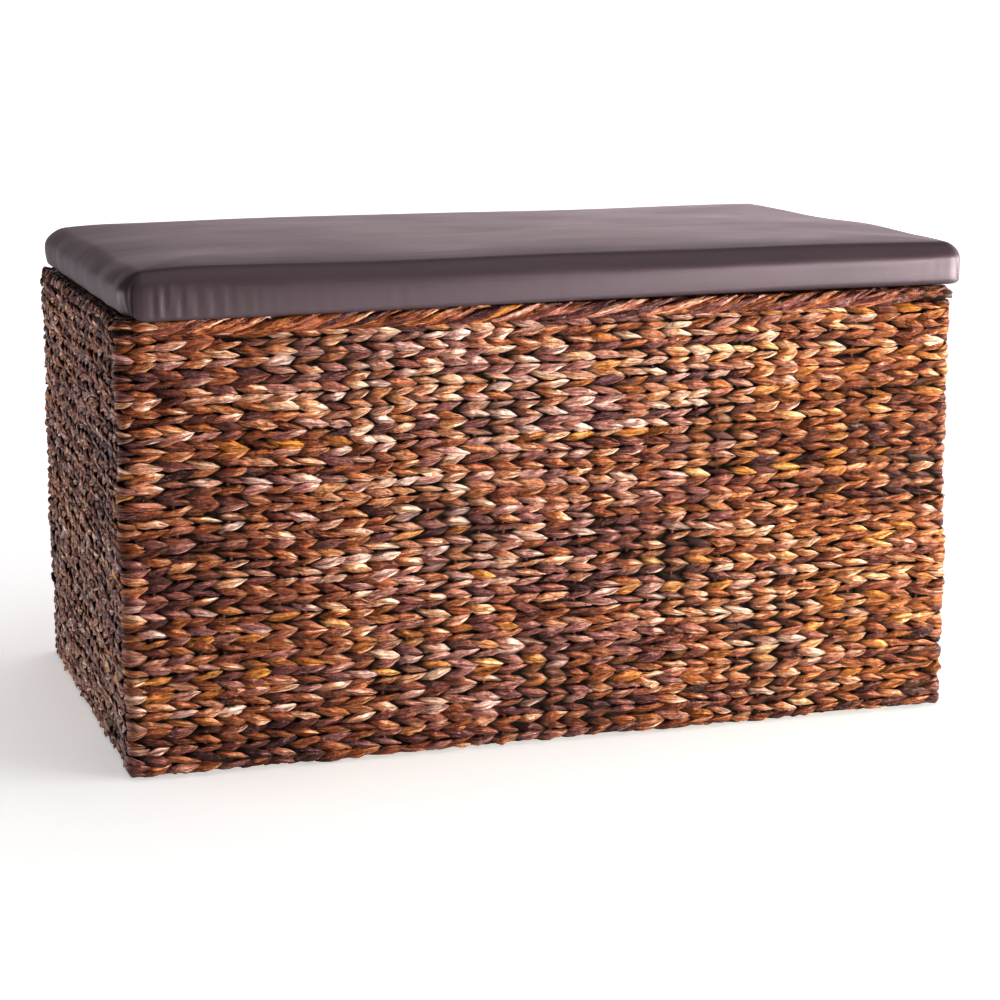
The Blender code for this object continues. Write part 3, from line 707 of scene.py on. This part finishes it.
def build_rim_edge(line_points):
    """Leaf strands laid side by side that climb slantwise along a route over the long sides' top edge."""
    spacing, half_width, half_thick = 0.0116, 0.0034, 0.0016
    # How far along the edge one strand travels. The first part of its climb is shallow.
    lengthwise, shallow = 0.074, 1.7
    first_seed, mean_tone = 4000, 0.52
    rings, sides = 26, 8
    line, normals = route(line_points)
    around = circle(sides)
    v = np.linspace(0, 1, rings)
    swell = np.sin(np.pi * v)
    at = np.arange(len(line))
    q = (0.35 * v + 0.65 * v**shallow) * (len(line) - 1)
    inset, height = (np.interp(q, at, line[:, k]) for k in (0, 1))
    face_in, face_up = (np.interp(q, at, normals[:, k]) for k in (0, 1))
    batch = Batch()
    for i in range(int(round(PERIMETER / spacing))):
        if on_short_side(i * spacing, lengthwise):
            continue
        rng = np.random.default_rng(first_seed + i)
        run = lengthwise * (1 + 0.16 * rng.normal())
        s = (i + 0.40 * rng.normal()) * spacing + run * v
        points, outward, _ = plan(s, inset)
        centre = np.concatenate([points, height[:, None]], -1)
        surface = unit(np.concatenate([-outward * face_in[:, None], face_up[:, None]], -1))
        forward = unit(np.gradient(centre, axis=0))
        across = unit(np.cross(forward, surface))
        width = half_width * (0.35 + 0.65 * swell**0.5) * (1 + 0.18 * rng.normal())
        lift = half_thick * (0.7 + 0.45 * rng.normal()) * swell
        tilt = 0.30 + 0.20 * rng.normal()
        crease = 1 + 0.14 * np.repeat(rng.normal(size=(rings // 4 + 1, sides)), 4, 0)[:rings]
        flat = width[:, None] * np.cos(around) * crease
        thick = half_thick * np.sin(around) * crease + flat * tilt
        vertices = (
            centre[:, None, :]
            + across[:, None, :] * flat[..., None]
            + surface[:, None, :] * (thick + lift[:, None])[..., None]
        ).reshape(-1, 3)
        full = np.ones(rings * sides)
        lot = rng.uniform(0, 900)
        tones, hues = leaf_tones(rng, 1, mean_tone)
        attributes = {
            "tone": full * tones[0],
            "hue": full * hues[0],
            # Painted shading towards both ends of each strand, where it tucks in, and a painted highlight
            # towards its upper end.
            "shade": np.repeat(0.30 + 0.70 * swell**0.5, sides),
            "tip": np.repeat(held((v - 0.4) / 0.3), sides) * rng.uniform(0, 1),
            "fibre": np.stack([np.repeat(s, sides), np.tile(around * half_width, rings), full * lot], -1),
        }
        vertices[:, 2] = np.maximum(vertices[:, 2], LEAST_HEIGHT)
        batch.add(clear_of_hinges(vertices), tube_quads(rings, sides, False), attributes)
    return leaf_piece("rim_edge_strands", batch)


def build_borders():
    """The rim: shallow strands over its outer edge, then small rows of twining across it and down inside."""
    inner = 0.0346
    high, low, bend = RIM_HIGH.z, RIM_LOW.z, 0.0060
    under, deep = 0.0016, 0.0032
    over_edge = [(under, low - 0.0025)]
    over_edge += arc_points((bend + under, high - bend - under), bend, 180, 110)
    over_edge += [(0.0075, high - 0.0035)]
    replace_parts(build_rim_edge(over_edge), "rim_border")

    scale, tone = 0.68, 0.42
    chunky_scale, chunky_tone = 1.10, 0.54
    spots = ((0.0074, 0.0047), (0.0128, 0.0045), (0.0186, 0.0045), (0.0240, 0.0047), (0.0288, 0.0052))
    across_rim = [
        (LEDGE_SEED + number, LEDGE, inset, high - below, 1.0 if number % 2 else -1.0, scale, tone)
        for number, (inset, below) in enumerate(spots)
    ]
    rows_piece("rim_outer_rows", *across_rim[:3])
    rows_piece("rim_inner_rows", *across_rim[3:])
    # The chunky row along the short sides' top edge runs on a little way round the corners.
    before, after = 0.075, 0.10
    places = (np.arange(STAKES) + 0.5) * PERIMETER / STAKES
    short = np.array([on_short_side(s, before, after) for s in places])
    rows_piece(
        "rim_side_rows",
        (INNER_FACE_SEED, INNER_FACE, inner - 0.0052, high - 0.0065, 1.0, scale, tone),
        (INNER_FACE_SEED + 1, INNER_FACE, inner - 0.0048, high - 0.0118, -1.0, scale, tone),
        (SIDE_EDGE_SEED, TOP_EDGE, 0.0065, high - 0.0083, -1.0, chunky_scale, chunky_tone, short),
    )

    core = [(deep, low), (deep, high - bend - deep), (0.0080, high - 0.0058)]
    core += [(inner - 0.0080, high - 0.0056), (inner - 0.0055, high - 0.0080), (inner - 0.0055, low)]
    vertices, quads = ring_vertices(core)
    # The core is painted near black: painted shading where it shows between the rows.
    attributes = strip_attributes(clear_of_hinges(vertices), 0.1, 0.1, 0.0, 3)
    mesh_piece("rim_core", vertices, quads, LEAF, "trunk", attributes)

    rows_piece("base_edge_row", (FOOT_SEED, FOOT_EDGE, 0.0072, SHELL_LOW.z + 0.0042, -1.0, 0.80, tone))


# Lid --------------------------------------------------------------------------------------------

LID_MID_X, LID_MID_Y = (LID_LOW.x + LID_HIGH.x) / 2, (LID_LOW.y + LID_HIGH.y) / 2
LID_HALF_X, LID_HALF_Y = (LID_HIGH.x - LID_LOW.x) / 2, (LID_HIGH.y - LID_LOW.y) / 2
LID_CORNER = 0.020
CORNER_STEPS = 30
VOXEL = 0.006
HEM = 0.030
COVER_THICKNESS = 0.0012
DUST_CLOTH_THICKNESS = 0.0004
COVER_CROWN = 0.0045
COVER_LOW_ROUND, COVER_TOP_ROUND = 0.0065, 0.020
SWELL_CAP = 0.006
CLOTH_FRAMES = 20
DROOP_FRONT, DROOP_LEFT, DROOP_REACH = 0.0050, 0.0060, 0.085
# How strongly the cover is pulled at each corner: its sides in x and y, and the strength.
PULLED_CORNERS = ((-1, -1, 1.0), (1, -1, 0.08), (1, 1, 0.25), (-1, 1, 0.9))
PUCKER_DEPTH, PUCKER_PITCH, FINE_PUCKER_PITCH = 0.00042, 0.0145, 0.0087
SCALLOP_DEPTH, SCALLOP_PITCH = 0.0046, 0.112
PLEAT_DEPTH = 0.0020
TOP_UNEVENNESS = 0.0007
LIP_LEFT, LIP_RIGHT, HEM_HANG, LEFT_BULGE = 0.0036, 0.0012, 0.0058, 0.0040
# How far in from the edge the rings of the crowned top lie.
CROWN_REACHES = (0.030, 0.037, 0.045, 0.054, 0.065, 0.078, 0.094, 0.112)
CROWN_REACHES += (0.132, 0.155, 0.180, 0.207, 0.234, 0.258)


def pillow_profile(low, high, crown, low_round, top_round, hem=()):
    """(inset, height) from the underside round the edge to the crowned top."""
    profile = [(inset, low) for inset in hem]
    for step in range(7):
        angle = math.radians(90 * step / 6)
        profile.append((low_round * (1 - math.sin(angle)), low + low_round * (1 - math.cos(angle))))
    top = high - crown
    side_low, side_high = low + low_round, top - top_round
    for share in (0.25, 0.5, 0.75):
        profile.append((0.0, side_low + share * (side_high - side_low)))
    for step in range(13):
        angle = math.radians(90 * step / 12)
        profile.append((top_round * (1 - math.cos(angle)), top - top_round * (1 - math.sin(angle))))
    for reach in CROWN_REACHES:
        rise = math.sin(min((reach - top_round) / 0.16, 1.0) * math.pi / 2)
        profile.append((reach, top + rise * crown))
    return profile


def graded(length, near, far):
    """Points from 0 to length: near is their spacing at both ends, and far their spacing in the middle."""
    reach = 0.16
    fine = np.linspace(0, length, 2001)
    from_end = held(np.minimum(fine, length - fine) / reach)
    steps = np.cumsum(1 / (near + (far - near) * from_end))
    steps = (steps - steps[0]) / (steps[-1] - steps[0])
    count = int(length / ((near + far) / 2) * 1.1)
    return np.interp(np.linspace(0, 1, count, endpoint=False), steps, fine)


def lid_ring(inset, near, far):
    """Points round the lid's plan, this far inside it, from the front left corner's end of the front."""
    radius = max(LID_CORNER - inset, LEAST_ARC)
    reach_x, reach_y = LID_HALF_X - inset - radius, LID_HALF_Y - inset - radius
    points = []
    for side in range(4):
        angle = (side - 1) * math.pi / 2
        normal, tangent = (math.cos(angle), math.sin(angle)), (-math.sin(angle), math.cos(angle))
        along, across = (reach_x, reach_y) if side % 2 == 0 else (reach_y, reach_x)
        full = 2 * ((LID_HALF_X if side % 2 == 0 else LID_HALF_Y) - LID_CORNER)
        for at in graded(full, near, far) / full * 2 * along - along:
            x = LID_MID_X + normal[0] * (across + radius) + tangent[0] * at
            y = LID_MID_Y + normal[1] * (across + radius) + tangent[1] * at
            points.append((x, y))
        centre_x = LID_MID_X + (normal[0] * across + tangent[0] * along)
        centre_y = LID_MID_Y + (normal[1] * across + tangent[1] * along)
        for step in range(CORNER_STEPS):
            turn = angle + step / CORNER_STEPS * math.pi / 2
            points.append((centre_x + radius * math.cos(turn), centre_y + radius * math.sin(turn)))
    return points


def pillow(name, shrink, profile, near=0.0024, far=0.0075, close_bottom=True):
    """A slab with rounded edges and a crowned top, as rings one inside the next."""
    loops = [[(x, y, z) for x, y in lid_ring(inset + shrink, near, far)] for inset, z in profile]
    count = len(loops[0])
    vertices = [point for ring in loops for point in ring]
    faces = []
    for start in range(0, (len(loops) - 1) * count, count):
        for i in range(count):
            j = (i + 1) % count
            faces.append((start + i, start + j, start + count + j, start + count + i))
    if close_bottom:
        faces.append(tuple(range(count))[::-1])
    faces.append(tuple((len(loops) - 1) * count + i for i in range(count)))
    mesh = bpy.data.meshes.new(name)
    mesh.from_pydata(vertices, [], faces)
    mesh.update()
    return new_object(name, mesh)


def apply_modifiers(obj):
    graph = bpy.context.evaluated_depsgraph_get()
    mesh = bpy.data.meshes.new_from_object(obj.evaluated_get(graph))
    obj.modifiers.clear()
    obj.data = mesh


def thicken(obj, thickness, offset):
    """Gives a surface its thickness: on its inner side if offset is -1, or half on each side if it is 0."""
    solidify = obj.modifiers.new("thickness", "SOLIDIFY")
    solidify.thickness, solidify.offset = thickness, offset
    apply_modifiers(obj)
    obj.data.shade_smooth()


def vertex_array(mesh, key="co"):
    """Each vertex's coordinates, or its normal."""
    values = np.empty(len(mesh.vertices) * 3, np.float32)
    mesh.vertices.foreach_get(key, values)
    return values.reshape(-1, 3).astype(float)


def put_coordinates(mesh, co):
    mesh.vertices.foreach_set("co", np.ascontiguousarray(co, np.float32).ravel())
    mesh.update()


def smoothed(mesh, values, rounds):
    """Averages each vertex's value with its neighbours', many times."""
    edges = np.empty(len(mesh.edges) * 2, np.int32)
    mesh.edges.foreach_get("vertices", edges)
    a, b = edges.reshape(-1, 2).T
    count = len(values)
    degree = np.bincount(a, minlength=count) + np.bincount(b, minlength=count)
    for _ in range(rounds):
        sums = [np.bincount(a, part[b], count) + np.bincount(b, part[a], count) for part in values.T]
        values = 0.5 * values + 0.5 * np.stack(sums, -1) / degree[:, None]
    return values


def inflated(profile):
    """The cover's swelling under cloth pressure, as rest points and offsets. Its underside is held."""
    obj = pillow("cover_cloth", 0.0, profile, 0.006, 0.012)
    remesh = obj.modifiers.new("remesh", "REMESH")
    remesh.mode = "VOXEL"
    remesh.voxel_size = VOXEL
    apply_modifiers(obj)
    rest = vertex_array(obj.data)
    from_edge_x = held((LID_HALF_X - np.abs(rest[:, 0] - LID_MID_X)) / 0.12)
    from_edge_y = held((LID_HALF_Y - np.abs(rest[:, 1] - LID_MID_Y)) / 0.12)
    on_top = rest[:, 2] > LID_HIGH.z - 0.02
    hold = np.where(on_top, 0.9 * np.minimum(from_edge_x, from_edge_y) ** 0.7, 0.0)
    hold = np.where(rest[:, 2] < LID_LOW.z + 0.004, 1.0, hold)
    group = obj.vertex_groups.new(name="held")
    for index, weight in enumerate(hold):
        group.add([index], float(weight), "REPLACE")
    cloth = obj.modifiers.new("cloth", "CLOTH")
    settings = cloth.settings
    settings.use_pressure = True
    settings.uniform_pressure_force = 4.0
    settings.effector_weights.gravity = 0.0
    settings.vertex_group_mass = "held"
    settings.tension_stiffness = settings.compression_stiffness = 15.0
    settings.bending_stiffness = 0.8
    settings.quality = 5
    cloth.collision_settings.use_collision = False
    for number in range(1, CLOTH_FRAMES + 1):
        bpy.context.scene.frame_set(number)
    apply_modifiers(obj)
    offset = vertex_array(obj.data) - rest
    length = np.linalg.norm(offset, axis=1)
    offset *= np.minimum(1.0, SWELL_CAP / np.maximum(length, 1e-9))[:, None]
    offset = smoothed(obj.data, offset, 14)
    bpy.context.scene.frame_set(1)
    bpy.data.objects.remove(obj)
    return rest, offset


def sampled(points, rest, offset):
    """Offsets at other points, from the nearest few that are known."""
    tree = KDTree(len(rest))
    for index, point in enumerate(rest):
        tree.insert(point, index)
    tree.balance()
    out = np.empty_like(points)
    for index, point in enumerate(points):
        found = tree.find_n(point, 6)
        weights = np.array([1 / (distance + 0.0005) ** 2 for _, _, distance in found])
        out[index] = (offset[[i for _, i, _ in found]] * weights[:, None]).sum(0) / weights.sum()
    return out


def droop(x, y):
    """How far the top falls away towards the front and left edges."""
    from_front = held((y + LID_HALF_Y + 0.004) / DROOP_REACH)
    from_left = held((x + LID_HALF_X + 0.006) / DROOP_REACH)
    return DROOP_FRONT * (1 - from_front) ** 2 + DROOP_LEFT * (1 - from_left) ** 2


def sculpt_cover(mesh):
    """Puckers where the cover is pulled round the corners, a fold at each corner, and slow unevenness."""
    co = vertex_array(mesh)
    normals = vertex_array(mesh, "normal")
    x, y, z = co[:, 0] - LID_MID_X, co[:, 1] - LID_MID_Y, co[:, 2]
    side = held(1 - np.abs(normals[:, 2]))
    up = held((z - LID_LOW.z) / (LID_HIGH.z - LID_LOW.z))
    low_band = side**0.7 * held((0.80 - up) / 0.35) * held(up / 0.08)
    high_band = held(1.0 - np.abs(normals[:, 2]) * 0.85) * held(up / 0.10)
    move = np.zeros(len(co))
    for seed, (sx, sy, strength) in enumerate(PULLED_CORNERS):
        rng = np.random.default_rng(50 + seed)
        phase = rng.uniform(0, 6.28)
        # Small vertical puckers on the long face.
        along = LID_HALF_X - sx * x
        on_face = held(sy * normals[:, 1]) ** 2 * (sy * y > 0)
        near = np.exp(-np.clip(along - 0.03, 0, None) / 0.17) * held((along - LID_CORNER) / 0.012)
        bend = 0.003 * np.sin(along / 0.017 + phase) + 0.005 * (up - 0.3)
        ripple = np.sin(2 * np.pi * (along + bend) / PUCKER_PITCH + phase)
        ripple += 0.55 * np.sin(2 * np.pi * (along - bend) / FINE_PUCKER_PITCH + 2.1 * phase)
        move += strength * PUCKER_DEPTH * near * on_face * ripple * low_band
        # Broad scallops on the short face.
        along = LID_HALF_Y - sy * y
        on_face = held(sx * normals[:, 0] + 0.25) * (sx * x > 0)
        near = np.exp(-np.clip(along - 0.05, 0, None) / 0.30) * held((along - 0.012) / 0.015)
        place = along + 0.008 * np.sin(along / 0.05 + phase)
        ripple = np.abs(np.sin(np.pi * place / SCALLOP_PITCH + phase)) - 0.6
        move += strength * SCALLOP_DEPTH * near * on_face * ripple * high_band
        # A pleat down the corner.
        angle = np.arctan2(sy * y - (LID_HALF_Y - LID_CORNER), sx * x - (LID_HALF_X - LID_CORNER))
        in_corner = (sx * x > LID_HALF_X - LID_CORNER) & (sy * y > LID_HALF_Y - LID_CORNER)
        across = (angle - math.radians(58 if sx * sy > 0 else 52)) * LID_CORNER
        fold = -1.6 * np.exp(-((across / 0.0012) ** 2)) + 0.35 * np.exp(-(((across + 0.0042) / 0.0026) ** 2))
        move += in_corner * max(strength, 0.6) * PLEAT_DEPTH * fold * low_band
    top = held(normals[:, 2]) ** 2
    flat = np.stack([x, y, np.zeros(len(x))], -1)
    move += top * TOP_UNEVENNESS * waves(flat * (0.6, 1.4, 1), 0.24, 31)
    co += normals * move[:, None]
    # The front's lower edge stands out over the rim, and hangs lower towards the left.
    front = held((-y - (LID_HALF_Y - COVER_LOW_ROUND)) / 0.0045)
    leftwards = held((0.28 - x) / 0.62)
    below = held((0.60 - up) / 0.45) ** 0.8
    co[:, 1] -= (LIP_LEFT * leftwards - LIP_RIGHT * (1 - leftwards)) * front * below
    co[:, 2] -= HEM_HANG * front * leftwards * below
    co[:, 0] -= LEFT_BULGE * held((-x - (LID_HALF_X - 0.016)) / 0.010) * np.sin(np.pi * up**0.8)
    co[:, 2] -= droop(x, y) * held((up - 0.30) / 0.5)
    put_coordinates(mesh, co)


def build_cover():
    hem = np.linspace(HEM, 0.009, 6)
    edge = (LID_LOW.z, LID_HIGH.z + 0.0005, COVER_CROWN, COVER_LOW_ROUND, COVER_TOP_ROUND)
    cover = pillow("lid_cover_leather", 0.0, pillow_profile(*edge, hem), close_bottom=False)
    co = vertex_array(cover.data)
    offset = sampled(co, *inflated(pillow_profile(*edge)))
    # It swells least at the back, where the hinges are, and on the right.
    for axis, middle, share in ((1, LID_MID_Y, 0.15), (0, LID_MID_X, 0.05)):
        outwards = (co[:, axis] > middle) & (offset[:, axis] > 0)
        offset[outwards, axis] *= share
    offset[co[:, 2] < LID_LOW.z + 0.0005] = 0
    put_coordinates(cover.data, co + offset)
    sculpt_cover(cover.data)
    thicken(cover, COVER_THICKNESS, -1)
    cover.data.materials.append(LEATHER)
    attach(cover, "lid")
    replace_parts(cover, "lid_cover")


def build_foam():
    skin = 0.0042
    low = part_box("lid_foam")[0].z
    profile = pillow_profile(low, LID_HIGH.z - skin, COVER_CROWN, 0.002, 0.017)
    foam = pillow("foam_pad", skin, profile, 0.006, 0.012)
    co = vertex_array(foam.data)
    co += vertex_array(foam.data, "normal") * (0.0003 * waves(co, 0.05, 61))[:, None]
    raised = held((co[:, 2] - low) / 0.012)
    co[:, 2] -= (0.0010 + droop(co[:, 0] - LID_MID_X, co[:, 1] - LID_MID_Y)) * raised
    put_coordinates(foam.data, co)
    foam.data.shade_smooth()
    foam.data.materials.append(FOAM)
    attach(foam, "lid")
    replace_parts(foam, "lid_foam")


def dust_cover_staples(low, high, height):
    """Wire staples all round, a little inside the cloth's edge, each slightly askew."""
    rng = np.random.default_rng(83)
    batch = Batch()
    margin, spacing, half_length, leg = 0.005, 0.052, 0.0048, 0.0006
    radius, sides = 0.00032, 6
    around = circle(sides)
    along = np.array([-1.0, -0.97, -0.90, 0.90, 0.97, 1.0]) * half_length
    drop = np.array([leg, leg / 3, 0, 0, leg / 3, leg])
    rise = height + drop[:, None] + radius * np.sin(around)[None, :]
    wide, deep = high.x - low.x, high.y - low.y
    for length, depth, quarter in ((wide, deep, 0), (deep, wide, math.pi / 2)):
        span = length - 2 * margin
        for place in np.linspace(0.03, 0.97, int(span / spacing)) * span + margin:
            for edge in (margin, depth - margin):
                x, y = (edge, place) if quarter else (place, edge)
                turn = rng.normal(0, 0.08) + quarter
                way = np.array([math.cos(turn), math.sin(turn)])
                beside = np.array([-math.sin(turn), math.cos(turn)])
                wire = np.array([low.x + x, low.y + y]) + along[:, None] * way
                ring = wire[:, None, :] + (radius * np.cos(around))[None, :, None] * beside
                staple = np.concatenate([ring, rise[..., None]], -1).reshape(-1, 3)
                batch.add(staple, leaf_quads(1, len(along), sides), {})
    return batch.piece("dust_cover_staples", STEEL, "lid", "steel")


def build_dust_cover():
    """A thin cloth stapled under the lid's board. It hangs a little in the middle, with faint drag lines."""
    low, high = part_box("lid_dust_cover")
    middle = (low.z + high.z) / 2
    columns, rows = 141, 91
    u, v = (grid.ravel() for grid in np.meshgrid(np.linspace(0, 1, columns), np.linspace(0, 1, rows)))
    x, y = low.x + u * (high.x - low.x), low.y + v * (high.y - low.y)
    slack = np.abs(np.sin(np.pi * u) * np.sin(np.pi * v))
    flat = np.stack([x, y, np.zeros_like(x)], -1)
    drags = 0.6 * waves(flat * (1, 0.35, 1), 0.05, 81) + 0.4 * waves(flat * (0.35, 1, 1), 0.045, 82)
    vertices = flat + np.outer(middle - 0.0022 * slack - 0.0007 * slack**0.5 * drags, (0, 0, 1))
    at = (np.arange(rows - 1)[:, None] * columns + np.arange(columns - 1)).reshape(-1, 1)
    quads = at + np.array([0, columns, columns + 1, 1])
    cover = mesh_piece("dust_cover_cloth", vertices, quads, DUST_CLOTH, "lid")
    thicken(cover, DUST_CLOTH_THICKNESS, 0)
    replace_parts(cover, "lid_dust_cover")
    dust_cover_staples(low, high, middle - 0.00048)


# CAD nodes that stay ----------------------------------------------------------------------------


def finish_of_node(name):
    if name.startswith("glide"):
        return GLIDE_PLASTIC
    if name.startswith("lid_bumper"):
        return BUMPER_RUBBER
    if name.startswith(("hinge", "stay")):
        return STEEL
    if name.startswith("corner_post"):
        return WOOD["z"]
    if name in ("base_bearer", "base_panel") or name.endswith(("rail_left", "rail_right")):
        return WOOD["y"]
    return WOOD["x"]


def dress_nodes():
    for name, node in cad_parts.items():
        if node.hide_render:
            continue
        node.data.materials.clear()
        node.data.materials.append(finish_of_node(name))


# Stage ------------------------------------------------------------------------------------------


def area_light(name, at, towards, size, power, colour):
    light = bpy.data.lights.new(name, "AREA")
    light.shape = "RECTANGLE"
    light.size, light.size_y = size
    light.energy = power
    light.color = colour
    obj = new_object(name, light)
    obj.location = at
    obj.rotation_euler = (Vector(towards) - Vector(at)).to_track_quat("-Z", "Y").to_euler()
    obj.visible_camera = False


# Name, place, aim, size, watts and colour. The side lights stay below the lid's top, so that they don't
# glare on it.
LIGHTS = (
    ("key", (2.45, -1.75, 0.25), (0.05, -0.25, 0.25), (2.6, 0.48), 240, (1.0, 0.975, 0.95)),
    ("front_sheen", (2.2, -3.2, 0.28), (0.3, 0, 0.40), (1.6, 0.4), 34, (1.0, 0.95, 0.97)),
    ("left_sheen", (-2.9, 1.3, 0.27), (-0.4, 0, 0.25), (1.4, 0.42), 33, (0.97, 0.93, 1.0)),
    ("overhead", (0.3, -0.3, 3.6), (0.0, 0.0, 0.3), (3.0, 3.0), 45, (1.0, 0.98, 0.97)),
)

# How the backdrop's light falls off with direction: bright behind, more so on the right, dim overhead.
# A pale band along the horizon goes all the way round.
WORLD_LEVEL = 2.3
WORLD_FADES = (
    ("Z", ((-1.0, 1.0), (0.16, 1.0), (0.60, 0.08))),
    ("X", ((-1.0, 0.14), (-0.10, 0.20), (0.06, 0.62), (0.14, 0.84), (0.30, 1.38), (0.60, 1.82))),
    ("Y", ((-1.0, 0.10), (0.0, 0.14), (0.45, 1.0))),
)
HORIZON_BAND = ((-1.0, 1.28), (0.06, 1.28), (0.24, 0.12), (1.0, 0.12))


def stage_plane(name, corners, material):
    mesh = bpy.data.meshes.new(name)
    mesh.from_pydata(corners, [], [(0, 1, 2, 3)])
    mesh.materials.append(material)
    return new_object(name, mesh)


def build_floor():
    """A pale floor that glows with distance, so that it fades into the white backdrop."""
    n = Nodes("pale_floor")
    at = n.place()
    glow = n.spread(n.vector_math("LENGTH", at).outputs["Value"], 0.6, 3.5, 0.44, 0.92)
    colour = n.mix(n.noise(at, 3.0, 2.0), (0.84, 0.88, 0.87), (0.86, 0.90, 0.89))
    material = n.finish(colour, 0.9, Emission_Color=(1.0, 1.0, 1.0, 1), Emission_Strength=glow)
    reach = 30.0
    corners = [(-reach, -reach, 0), (reach, -reach, 0), (reach, reach, 0), (-reach, reach, 0)]
    stage_plane("floor", corners, material)


def build_world():
    world = Nodes("studio", "worlds")
    bpy.context.scene.world = world.owner
    direction = world.add("ShaderNodeSeparateXYZ", (world.place("Generated"),))

    def faded(axis, stops):
        """A level for one part of the direction, from stops at -1 to 1."""
        share = world.math("MULTIPLY_ADD", direction.outputs[axis], 0.5, 0.5)
        node = world.add("ShaderNodeFloatCurve", {"Value": share})
        curve = node.mapping.curves[0]
        spots = [((position + 1) / 2, level / WORLD_LEVEL) for position, level in stops]
        curve.points[0].location, curve.points[1].location = spots[0], (1.0, spots[-1][1])
        for spot in spots[1:]:
            curve.points.new(*spot)
        for point in curve.points:
            point.handle_type = "VECTOR"
        node.mapping.update()
        return world.math("MULTIPLY", node.outputs[0], WORLD_LEVEL)

    strength = faded(*WORLD_FADES[0])
    for fade in WORLD_FADES[1:]:
        strength = world.math("MULTIPLY", strength, faded(*fade))
    strength = world.math("MULTIPLY", strength, WORLD_LEVEL)
    strength = world.math("MAXIMUM", strength, faded("Z", HORIZON_BAND))
    world.feed(world.shader.inputs["Strength"], strength)
    world.feed(world.shader.inputs["Color"], (1.0, 0.84, 0.88, 1))


def build_grey_board():
    """Behind on the left and seen only in reflections, it keeps the lid's left side from going pale."""
    n = Nodes("grey_board")
    colour = n.mix(n.noise(n.place(), 40.0), (0.05, 0.045, 0.05), (0.07, 0.065, 0.07))
    material = n.finish(colour, 0.95, Emission_Color=(1.0, 0.90, 0.96, 1), Emission_Strength=0.50)
    left, right, back, top = -3.2, -0.54, 1.5, 1.1
    corners = [(left, back, 0), (right, back, 0), (right, back, top), (left, back, top)]
    board = stage_plane("grey_board", corners, material)
    board.visible_camera = board.visible_diffuse = board.visible_shadow = False


def build_camera():
    """Looks a little down and to the right at the front, with the left side in view."""
    camera = bpy.data.cameras.new("camera")
    camera.sensor_width = 36.0
    camera.lens = 91.3
    camera.clip_end = 100.0
    obj = new_object("camera", camera)
    yaw, pitch, roll = math.radians(17.22), math.radians(10.83), math.radians(-0.38)
    way = Vector((math.sin(yaw) * math.cos(pitch), math.cos(yaw) * math.cos(pitch), -math.sin(pitch)))
    right = Vector((math.cos(yaw), -math.sin(yaw), 0))
    up = right.cross(way)
    turned_right = right * math.cos(roll) + up * math.sin(roll)
    turned_up = up * math.cos(roll) - right * math.sin(roll)
    basis = Matrix((turned_right, turned_up, -way)).transposed()
    obj.matrix_world = Matrix.Translation((MID_X - 0.8094, MID_Y - 2.7039, 0.7456)) @ basis.to_4x4()
    bpy.context.scene.camera = obj


bpy.context.scene.view_settings.view_transform = "Standard"
bpy.context.scene.view_settings.gamma = 0.83
build_camera()
build_weave()
build_stakes()
build_borders()
build_cover()
build_foam()
build_dust_cover()
dress_nodes()
build_floor()
build_world()
build_grey_board()
for settings in LIGHTS:
    area_light(*settings)
